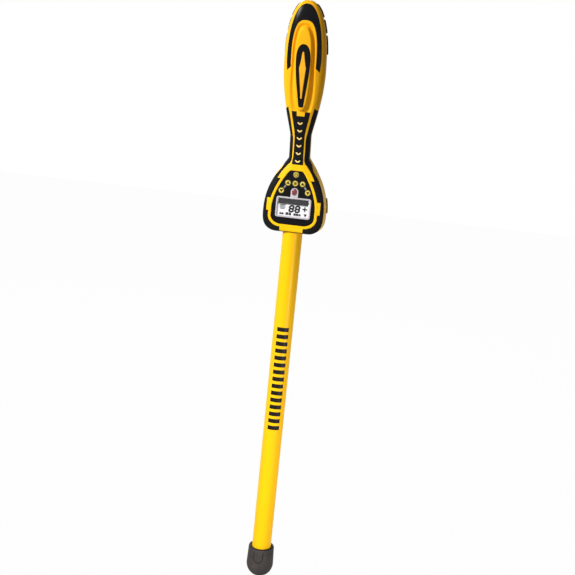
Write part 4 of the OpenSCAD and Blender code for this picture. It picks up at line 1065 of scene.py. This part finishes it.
def stadiumLoop(r, half, at, steps=20):
    turns = [180 * k / steps for k in range(steps + 1)]
    turns += [180 + a for a in turns]
    return [(at[0] + r * math.cos(math.radians(a)),
             at[1] + (half if a < 180 else -half) + r * math.sin(math.radians(a))) for a in turns]


def screenLoop(inset, corner):
    # the display's rectangle, smaller by an inset
    return roundedLoop(display["wide"] - inset, display["tall"] - inset, corner, (0, display["at"]))


def platePiece(name, loops, front, back, bevel, finishName, sharp):
    return makePiece(name, [plateShape(loops, front, back, bevel, head["base"])], [finishName], sharp)


lampSpot = (0, display["lampAt"])
panelHoles = [bezelLoop(display["gap"])]
panelHoles += [circleLoop(keyCap["round"] + keyCap["gap"], spot, 48) for spot in keySpots.values()]
panelPiece = platePiece("keypadPanel", [panelLoop()] + panelHoles, panel["top"], panel["top"] + panel["thick"],
                        panel["bevel"], "blackPanel", 30.0)
settle(panelPiece, "black_panel", "keypad_panel")
bezelLoops = [bezelLoop(), screenLoop(*display["opening"]),
              stadiumLoop(display["lampHalf"] + display["gap"], display["lampTall"], lampSpot)]
bezelPiece = platePiece("displayBezel", bezelLoops, display["bezelTop"], display["bezelBack"], 0.45, "greyBezel", 40.0)
settle(bezelPiece, "grey_bezel", "display_bezel")
windowPiece = platePiece("displayWindow", [screenLoop(*display["pane"])], display["windowTop"],
                         display["windowBack"], 0.2, "window", 30.0)
settle(windowPiece, "window", "display_window")

# domed lens: inset from its edge, and depth
lampSteps = ((-0.6, -18.0), (-0.6, -18.85), (0.0, -18.86), (0.0, -20.9), (0.12, -21.2), (0.45, -21.4),
             (1.1, -21.62), (2.0, -21.78), (3.0, -21.86), (3.9, -21.9))
lampRings = []
for inset, y in lampSteps:
    half = display["lampTall"] * max(0.05, 1 - max(0, inset) / 4.2)
    lampRings.append([(x, y, h) for x, h in stadiumLoop(display["lampHalf"] - inset, half, lampSpot)])
lampPiece = makePiece("warningLamp", [seated(loftShape(lampRings), False)], ["redLens"], 40.0)
settle(lampPiece, "red_lens", "lamp_lens")
print("panel, bezel, window and lamp done")


# keys

def facePrism(loop, front, back, at=(0.0, 0.0), turn=0.0):
    c, s = math.cos(turn), math.sin(turn)
    return prismShape([(at[0] + c * x - s * h, at[1] + s * x + c * h) for x, h in loop], front, back, False)


def barLoop(w, h, at=(0, 0)):
    return [(at[0] + x * w / 2, at[1] + y * h / 2) for x, y in ((-1, -1), (1, -1), (1, 1), (-1, 1))]


arrowLoop = softPolygon([(-3.0, -1.9), (3.0, -1.9), (0, 3.0)], 0.4)
downLoop = [(-x, -h) for x, h in arrowLoop]
keyMarks = {
    "power": [arcLoop(2.9, (0, 0), 125, 415, 22) + arcLoop(1.8, (0, 0), 125, 415, 22)[::-1],
              barLoop(1.1, 3.0, (0, 1.6))],
    "centre": [barLoop(4.8, 1.0, (0, h)) for h in (1.6, 0, -1.6)] + [barLoop(1.0, 4.2)],
    "left_upper": [arrowLoop], "left_lower": [downLoop], "right_upper": [arrowLoop], "right_lower": [downLoop],
}
r, top, disc, flange = (keyCap[k] for k in ("round", "top", "disc", "flange"))
capProfile = [(0.01, keyCap["back"]), (r + flange, keyCap["back"]), (r + flange, keyCap["flangeTop"]),
              (r, keyCap["flangeTop"]), (r, top + 0.75), (r - 0.07, top + 0.42), (r - 0.28, top + 0.16),
              (r - 0.6, top + 0.03), (r - 0.9, top), (disc + 0.12, top + 0.05), (disc, top + 0.16), (0.01, top + 0.16)]
discProfile = [(0.01, top + 0.5), (disc - 0.05, top + 0.5), (disc - 0.05, top + 0.12), (disc - 0.3, top + 0.02),
               (2.6, top - 0.05), (1.2, top - 0.1), (0.01, top - 0.12)]
for keyName, spot in keySpots.items():
    def onPanel(points, spot=spot):
        # the turning axis lies along the depth
        p = np.asarray(points)
        return np.stack([p[:, 0] + spot[0], p[:, 2], -p[:, 1] + spot[1] + head["base"]], axis=1)

    shapes = [(*latheShape(capProfile, 64, onPanel), 0), (*latheShape(discProfile, 64, onPanel), 1)]
    shapes += [(*facePrism(mark, top - 0.17, top + 0.1, spot), 2) for mark in keyMarks[keyName]]
    keyPiece = makePiece("key." + keyName, shapes, ["keyRim", "keyTop", "keyMark"], 40.0)
    settle(keyPiece, "keys", "key_" + keyName, body="key_" + keyName)

# printed bars that join each pair of side keys
linkShapes = []
for sideName in ("left", "right"):
    a, b = Vector(keySpots[sideName + "_upper"]), Vector(keySpots[sideName + "_lower"])
    middle, way = (a + b) / 2, (b - a).normalized()
    linkShapes.append(facePrism(barLoop(5.0, 2.6), panel["top"] - 0.04, panel["top"] + 0.3, middle,
                                math.atan2(way.y, way.x)))
linkPiece = makePiece("keyLinks", linkShapes, ["keyLink"], 30.0)
settle(linkPiece, "grey_bezel")
print("keys done")

# marks on the display; each label has its place across, its width and its height

lcd = {"bandLow": 47.0, "bandHigh": 56.1, "bandLeft": -26.0, "bandRight": 24.4, "bandLine": 0.55, "hatches": 33,
       "figures": ((-2.8, 40.0), (7.4, 40.0)), "digitTall": 9.8, "digitWide": 6.4, "lean": 0.10, "stroke": 3.2,
       "plusAt": (19.8, 41.0), "plusLong": 8.2, "plusWide": 2.2, "arrowAt": 21.4, "arrowHalf": 3.0,
       "arrowLow": 28.2, "arrowHigh": 33.4, "lineAt": (-18.4, 45.4), "lineStep": 2.1, "lineTall": 1.25,
       "lines": (10.4, 9.0, 9.8, 7.6), "labelLow": 29.0, "labels": (
           (-21.0, 3.6, 3.2), (-17.2, 3.4, 3.2), (-9.8, 4.6, 4.4), (-4.7, 4.4, 4.0), (3.4, 4.2, 3.8), (7.9, 4.2, 3.8),
           (12.0, 3.2, 3.4)), "ink": 0.06, "paleInk": 0.03}
inkFront, inkBack = display["face"] - lcd["ink"], display["face"] - 0.01


def inkPrism(loop):
    return facePrism(loop, inkFront, inkBack)


def figureShapes(cx, cy):
    # seven bars of a figure, leaning a little to the right
    w, t, k = lcd["digitWide"] / 2, lcd["digitTall"] / 2, lcd["stroke"] / 2
    shapes = []
    for first, second in (((-w, t), (w, t)), ((w, t), (w, 0)), ((w, 0), (w, -t)), ((-w, -t), (w, -t)),
                          ((-w, 0), (-w, -t)), ((-w, t), (-w, 0)), ((-w, 0), (w, 0))):
        a, b = Vector(first), Vector(second)
        way = (b - a).normalized()
        across = Vector((-way.y, way.x)) * k
        a, b = a - way * 0.5, b + way * 0.5
        loop = [a, a + way * k - across, b - way * k - across, b, b - way * k + across, a + way * k + across]
        shapes.append(inkPrism([(cx + p.x + lcd["lean"] * p.y, cy + p.y) for p in loop]))
    return shapes


bandWide, bandTall = lcd["bandRight"] - lcd["bandLeft"], lcd["bandHigh"] - lcd["bandLow"]
bandX, bandZ = (lcd["bandLeft"] + lcd["bandRight"]) / 2, (lcd["bandLow"] + lcd["bandHigh"]) / 2
inkShapes = [shape for spot in lcd["figures"] for shape in figureShapes(*spot)]
inkShapes += [inkPrism(barLoop(lcd["plusLong"], lcd["plusWide"], lcd["plusAt"])),
              facePrism(barLoop(lcd["plusWide"], lcd["plusLong"], lcd["plusAt"]), inkFront - 0.005, inkBack),
              inkPrism([(lcd["arrowAt"] - lcd["arrowHalf"], lcd["arrowHigh"]), (lcd["arrowAt"], lcd["arrowLow"]),
                        (lcd["arrowAt"] + lcd["arrowHalf"], lcd["arrowHigh"])])]
inkShapes += [inkPrism(barLoop(wide, lcd["lineTall"], (lcd["lineAt"][0], lcd["lineAt"][1] - lcd["lineStep"] * k)))
              for k, wide in enumerate(lcd["lines"])]
for x, w, tall in lcd["labels"]:
    low, high = lcd["labelLow"], lcd["labelLow"] + tall
    corners = [(x - w / 2, low), (x + w / 2, low), (x + w / 2, high), (x - w / 2, high)]
    inkShapes.append(inkPrism(softPolygon(corners, 0.5)))
inkShapes += [inkPrism(barLoop(bandWide, lcd["bandLine"], (bandX, h)))
              for h in (lcd["bandLow"] - 0.5, lcd["bandHigh"] + 0.5)]
inkShapes.append(inkPrism([(lcd["bandRight"] - 0.4, lcd["bandLow"] - 0.7), (lcd["bandRight"] + 1.6, bandZ),
                           (lcd["bandRight"] - 0.4, lcd["bandHigh"] + 0.7)]))
backing = facePrism(barLoop(bandWide, bandTall, (bandX, bandZ)), display["face"] - lcd["paleInk"], inkBack)
inkShapes.append((*backing, 1))
inkPiece = makePiece("displayMarks", inkShapes, ["ink", "inkPale"], 30.0)
settle(inkPiece, "display")
hatchLoop = [(-0.66, 0), (0.68, 0), (2.28, bandTall), (0.94, bandTall)]
hatchShape = loftShape([[(x, y, h) for x, h in hatchLoop] for y in (inkFront, inkBack)])
hatchPiece = repeatRow("displayHatch", hatchShape, lcd["hatches"], (lcd["bandLeft"], 0, head["base"] + lcd["bandLow"]),
                       ((bandWide - 1.6) / (lcd["hatches"] - 1), 0, 0), "ink")
settle(hatchPiece, "display")
print("display marks done")

# sensor tube, its printed bars and the rubber boot

tube = {"round": 17.0, "wall": 2.0, "low": 10.05, "high": 648.35, "barRows": 15, "barLow": 281.0, "barStep": 12.6,
        "barTall": 7.4, "barHalf": 36.0, "barTurn": 10.0, "barEdge": 0.25, "barRound": 1.6, "barInk": 0.05}
tubeR, boreR = tube["round"], tube["round"] - tube["wall"]
tubeProfile = [(boreR, tube["low"]), (tubeR - 0.3, tube["low"]), (tubeR, tube["low"] + 0.3)]
tubeProfile += [(tubeR, z) for z in np.linspace(tube["low"] + 4, tube["high"] - 0.5, 24)]
tubeProfile += [(tubeR - 0.4, tube["high"]), (boreR, tube["high"])]
tubePiece = makePiece("sensorTube", [latheShape(tubeProfile, 144)], ["tubePaint"])
cutWith(tubePiece, [makePiece("boreCut", [latheShape([(boreR, 0), (boreR, 700)], 144)], ["tubePaint"])])
settle(tubePiece, "tube_paint", "tube")

# one printed bar: an outer and an inner grid of four rows, joined round their edge
barCols, barPoints = 25, []
for radius in (tubeR + tube["barInk"], tubeR - tube["barInk"]):
    for z in (0.0, tube["barEdge"], tube["barTall"] - tube["barEdge"], tube["barTall"]):
        half = tube["barHalf"] - (tube["barRound"] if z in (0.0, tube["barTall"]) else 0.0)
        for a in np.linspace(-half, half, barCols):
            turn = math.radians(a + tube["barTurn"] - 90)
            barPoints.append((radius * math.cos(turn), radius * math.sin(turn), z))
barUnder = 4 * barCols
barFaces = gridFaces(4, barCols, False) + [f[::-1] for f in gridFaces(4, barCols, False, barUnder)]
barRing = [*range(barCols), 2 * barCols - 1, 3 * barCols - 1, *range(barUnder - 1, 3 * barCols - 1, -1), 2 * barCols,
           barCols]
barFaces += [(a, b, barUnder + b, barUnder + a) for a, b in zip(barRing, barRing[1:] + barRing[:1])]
barsPiece = repeatRow("tubeBars", (barPoints, barFaces), tube["barRows"], (0, 0, tube["barLow"]),
                      (0, 0, tube["barStep"]), "tubeInk")
settle(barsPiece, "tube_paint")

boot = {"round": 24.0, "tall": 57.0, "floor": 10.0, "collar": 9.0, "groove": 0.5, "tongueHalf": 7.8,
        "tongueLow": 41.0, "tongueHigh": 52.0, "tongueProud": 0.9, "shadedMouthRows": 10, "segments": 120}
bootR, bootTop = boot["round"], boot["tall"]


def bootRadius(z):
    if z < bootR:
        return math.sqrt(max(0.0001, bootR ** 2 - (bootR - z) ** 2))
    return bootR - 1.2 * (z - bootR) / (bootTop - 1.6 - bootR)


collarAt = bootTop - boot["collar"]
collarR = bootRadius(collarAt)
bootProfile = [(0.02, 0.0)]
bootProfile += [(bootR * math.sin(a), bootR * (1 - math.cos(a))) for a in map(math.radians, np.linspace(4, 90, 24))]
bootProfile += [(bootRadius(z), z) for z in np.linspace(26, collarAt - 1.0, 8)]
bootProfile += [(collarR - 0.12, collarAt - 0.55), (collarR - boot["groove"], collarAt - 0.25),
                (collarR - boot["groove"], collarAt + 0.25), (collarR - 0.05, collarAt + 0.6)]
bootProfile += [(bootRadius(z), z) for z in np.linspace(collarAt + 1.4, bootTop - 2.6, 4)]
bootProfile += [(bootR - inset, bootTop - drop) for inset, drop in ((1.35, 1.6), (1.9, 0.7), (2.8, 0.12), (4.2, 0))]
bootProfile += [(tubeR + gap, bootTop - drop) for gap, drop in ((1.7, 0), (1.2, 0.6), (0.9, 3.4), (0.05, 3.6))]
bootProfile += [(tubeR + 0.05, boot["floor"] + 0.4), (tubeR - 0.4, boot["floor"]), (0.02, boot["floor"])]


def tongueShape(steps):
    # a tongue wrapped on the boot: inset of its outline, and height over the boot
    rings = []
    for inset, lift in steps:
        half, low, high = boot["tongueHalf"] - inset, boot["tongueLow"], boot["tongueHigh"] - inset * 0.6
        loop = [(half * math.cos(math.radians(a)), low + half * math.sin(math.radians(a))) for a in range(180, 361, 10)]
        loop += [(half, mix(low, high, t)) for t in (0.25, 0.5, 0.75, 1.0)]
        loop += [(-half, mix(low, high, t)) for t in (1.0, 0.75, 0.5, 0.25)]
        rings.append([(x, -math.sqrt(max(1.0, (bootRadius(z) + lift) ** 2 - x * x)), z) for x, z in loop])
    return loftShape(rings)


proud = boot["tongueProud"]
tongue = tongueShape(((0.0, -0.8), (0.0, 0.1), (0.15, 0.5), (0.6, 0.85), (1.3, proud), (4.0, proud), (7.4, proud)))
# a ring a little wider than the tongue, in painted shade, standing for the tongue's shadow on the boot
tonguePaintedShade = tongueShape(((-1.0, -0.8), (-1.0, 0.06), (-0.8, 0.12), (7.4, 0.12)))
bootPoints, bootFaces = latheShape(bootProfile, boot["segments"])
# the last rows of the profile, over the inner lip and down into the mouth round the tube, are painted shade
shadedMouthStart = boot["segments"] * (len(bootProfile) - boot["shadedMouthRows"])
bootPiece = makePiece("rubberBoot", [
    (bootPoints, bootFaces[:shadedMouthStart], 0), (bootPoints, bootFaces[shadedMouthStart:-2], 1), (bootPoints, bootFaces[-2:], 0),
    (*tongue, 0), (*tonguePaintedShade, 1)], ["bootRubber", "bootPaintedShade"], 45.0)
settle(bootPiece, "boot_rubber", "boot")
print("tube and boot done")


# battery door with its knuckle, leaf and screw boss

def doorRow(h, thick, soft=0.5, cols=46):
    half = float(doorHalf(h))
    across = -rolledSteps(-half, half, soft, cols, (0, 0.15, 0.4, 0.7))
    away = np.minimum(half - np.abs(across), min(h - battery["doorLow"], battery["doorHigh"] - h))
    return skinRing(across, np.full_like(across, h), soft * (rollUp(away, soft) - 1), thick, False)


doorEnds = np.array([0, 0.07, 0.2, 0.4])
doorLevels = np.concatenate([battery["doorLow"] + doorEnds,
                             np.linspace(battery["doorLow"] + 0.6, battery["doorHigh"] - 0.6, 66),
                             battery["doorHigh"] - doorEnds[::-1]])
leafIn, leafOut = hingeDeep - 0.6, float(depthAt(battery["doorHigh"], False)) - 1.1
leafLow, leafHigh = battery["doorHigh"] - 4, battery["hingeAt"]
leafLoop = [(leafIn, leafLow), (leafIn, leafHigh), (leafOut - 0.5, leafHigh), (leafOut, leafHigh - 0.5),
            (leafOut, leafLow)]
knuckleEnds = (-battery["knuckleHalf"], battery["knuckleHalf"])


def onDoor(points):
    # the turning axis lies along the handle's depth, at the thumb screw
    p = np.asarray(points)
    return bend(np.stack([p[:, 0], p[:, 2], -p[:, 1] + battery["knobAt"]], axis=1))


bossProfile = [(2.3, 12.4), (6.6, 12.4), (6.6, 16.2), (6.5, 16.45), (6.2, battery["knobSeat"]),
               (2.3, battery["knobSeat"])]
doorPiece = makePiece("batteryDoor", [
    seated(loftShape([doorRow(h, battery["doorThick"]) for h in doorLevels])),
    hingeBar(battery["knuckle"], *knuckleEnds),
    seated(loftShape([[(x, y, h) for y, h in leafLoop] for x in knuckleEnds])),
    latheShape(bossProfile, 56, onDoor)], ["yellowShell"], 40.0)
settle(doorPiece, "yellow_shell", "battery_door", body="battery_door")

# thumb screw: turned head with a coin slot, and a ring of grip ribs
seatAt, knobR, knobTall = battery["knobSeat"] + 0.3, battery["knobRound"], battery["knobTall"]
knobTop = seatAt + knobTall
screwProfile = [(0.02, 9.5), (1.7, 9.5), (2.0, 9.9), (2.0, 11.75), (3.1, 11.75), (3.1, 12.1), (2.0, 12.1),
                (2.0, seatAt), (knobR - 0.9, seatAt), (knobR - 0.5, seatAt + 0.4), (knobR - 0.5, knobTop - 0.7),
                (knobR - 0.9, knobTop - 0.15), (knobR - 1.5, knobTop), (0.02, knobTop)]
screwPiece = makePiece("thumbScrew", [latheShape(screwProfile, 64, onDoor)], ["knob"], 40.0)
slotLoop = barLoop(1.6, 18, (0, battery["knobAt"]))
cutWith(screwPiece, [makePiece("coinCut", [prismShape(slotLoop, knobTop - 1.3, knobTop + 4)], ["knob"])])
settle(screwPiece, "knob", "door_screw", body="door_screw")
ribRings = [[(x * s, y, z * s) for x, z in circleLoop(0.62, (0, 0), 10)] for y, s in
            ((0.35, 0.55), (0.6, 1.0), (knobTall - 0.95, 1.0), (knobTall - 0.55, 0.5))]
handleTurn = (math.radians(head["lean"]), 0, 0)
ribSpots = circleLoop(knobR - 0.6, (0, battery["knobAt"]), battery["knurls"])
ribPlaces = bend(np.array([(x, seatAt, h) for x, h in ribSpots]))
ribPiece = repeatAt("thumbScrewRibs", loftShape(ribRings), ribPlaces, [handleTurn] * len(ribPlaces), "knob")
settle(ribPiece, "knob", body="door_screw")
print("battery door and thumb screw done")


# closing screws: pan heads with a cross recess

def screwHead():
    r, tall = closing["headRound"], closing["headTall"]
    profile = [(0.02, -6.0), (1.15, -6.0), (1.15, 0.0), (r - 0.1, 0.0), (r, 0.2), (r, 1.1), (r - 0.25, 1.65),
               (r - 0.8, 2.1), (r - 1.6, tall), (0.02, tall + 0.05)]
    one = makePiece("screwOne", [latheShape(profile, 40)], ["steel"])
    arms = []
    for w, h in ((0.85, 3.2), (3.2, 0.85)):
        rings = [[(x * s, z * s, y) for x, z in barLoop(w, h)] for y, s in ((1.0, 0.7), (4.0, 1.25))]
        arms.append(makePiece("recess", [loftShape(rings)], ["steel"]))
    cutWith(one, arms)
    points = np.array([v.co[:] for v in one.data.vertices]) * 1000
    faces = [tuple(p.vertices) for p in one.data.polygons]
    bpy.data.objects.remove(one)
    return np.stack([points[:, 0], points[:, 2], -points[:, 1]], axis=1), faces  # head towards +Y


screwShape, screwLift = screwHead(), 0.05
screwPlaces, screwTurns = [], []
for side in (-1, 1):
    for k, (x, h) in enumerate(closing["housing"]):
        screwPlaces.append((side * x, closing["housingSeat"] + screwLift, h + head["base"]))
        screwTurns.append((0, 0.35 + 0.9 * k + 0.5 * side, 0))
    for x, h in closing["handle"]:
        screwPlaces.append(bend(np.array([side * x, closing["handleSeat"] + screwLift, h])))
        screwTurns.append(handleTurn)
screwsPiece = repeatAt("closingScrews", screwShape, screwPlaces, screwTurns, "steel")
settle(screwsPiece, "steel", "case_screws")
tubeScrewAt = (0, closing["tubeSeat"] + screwLift, closing["tubeScrew"] + head["base"])
tubeScrew = repeatAt("tubeScrew", screwShape, [tubeScrewAt], [(0, 0.6, 0)], "steel", 0.95)
settle(tubeScrew, "steel", "tube_screw")
print("screws done")

# floor, light and camera

stage = {
    "floorHalf": 8.0, "floorDrop": 0.0005, "floorWhite": 0.98, "floorPaint": 0.42, "worldFill": 0.17,
    "lamps": {  # place, aim, watts, size, and spread in degrees
        "keyLamp": ((-1.85, -1.95, 1.7), (0, 0, 0.6), 98.0, 1.0, 180),
        "fillLamp": ((1.3, -1.25, 0.25), (0, 0, 0.22), 1.1, 0.5, 36),
        "backLamp": ((-0.7, 1.9, 1.9), (0, 0, 0.7), 42.0, 1.0, 180)},
}


def seenDirectly(tree):
    # 1 for rays from the camera, from glossy surfaces and through clear ones
    path = addNode(tree, "ShaderNodeLightPath").outputs
    shown = mathOn(tree, "MAXIMUM", path["Is Camera Ray"], path["Is Glossy Ray"])
    return mathOn(tree, "MAXIMUM", shown, path["Is Transmission Ray"])


floorMesh = bpy.data.meshes.new("floor")
floorCorners = barLoop(2 * stage["floorHalf"], 2 * stage["floorHalf"])
floorMesh.from_pydata([(x, y, -stage["floorDrop"]) for x, y in floorCorners], [], [(0, 1, 2, 3)])
floor = bpy.data.objects.new("floor", floorMesh)
scene.collection.objects.link(floor)
floorMaterial = bpy.data.materials.new("pale floor")
floorMaterial.use_nodes = True
floorTree = floorMaterial.node_tree
floorTree.nodes.clear()
floorGlow = addNode(floorTree, "ShaderNodeEmission")
floorPaint = addNode(floorTree, "ShaderNodeBsdfDiffuse", {"Color": (*[stage["floorPaint"]] * 3, 1)})
floorShare = mathOn(floorTree, "MULTIPLY", seenDirectly(floorTree), stage["floorWhite"])
floorMix = addNode(floorTree, "ShaderNodeMixShader", {"Fac": floorShare, 1: floorPaint.outputs[0],
                                                      2: floorGlow.outputs[0]})
addNode(floorTree, "ShaderNodeOutputMaterial", {"Surface": floorMix.outputs[0]})
floorMesh.materials.append(floorMaterial)

world = bpy.data.worlds.new("studio")
scene.world = world
world.use_nodes = True
skyTree = world.node_tree
setInputs(skyTree, skyTree.nodes["Background"], {
    "Color": (1, 1, 1, 1), "Strength": spreadOn(skyTree, seenDirectly(skyTree), stage["worldFill"], 1.0, 0.0, 1.0)})

for lampName, (place, aim, power, size, spread) in stage["lamps"].items():
    lamp = bpy.data.lights.new(lampName, "AREA")
    lamp.shape, lamp.size, lamp.energy, lamp.spread = "DISK", size, power, math.radians(spread)
    holder = bpy.data.objects.new(lampName, lamp)
    holder.location = place
    holder.rotation_euler = (Vector(aim) - Vector(place)).to_track_quat("-Z", "Y").to_euler()
    scene.collection.objects.link(holder)

view = {"place": (0.264789, -1.498993, 0.800597), "turn": 10.0, "dip": 10.0, "roll": 5.7088, "sensor": 36.0,
        "focal": 900.0 / 575.0 * 36.0, "near": 0.01}
turn, dip, roll = (math.radians(view[k]) for k in ("turn", "dip", "roll"))
ahead = Vector((-math.sin(turn) * math.cos(dip), math.cos(turn) * math.cos(dip), -math.sin(dip)))
level = Vector((math.cos(turn), math.sin(turn), 0))
upright = level.cross(ahead)
camRight = level * math.cos(roll) + upright * math.sin(roll)
camUp = upright * math.cos(roll) - level * math.sin(roll)
camera = bpy.data.objects.new("camera", bpy.data.cameras.new("camera"))
camera.data.sensor_width, camera.data.lens, camera.data.clip_start = view["sensor"], view["focal"], view["near"]
camera.matrix_world = Matrix([(camRight[k], camUp[k], -ahead[k], view["place"][k]) for k in range(3)] + [(0, 0, 0, 1)])
scene.collection.objects.link(camera)
scene.camera = camera
print("stage done")
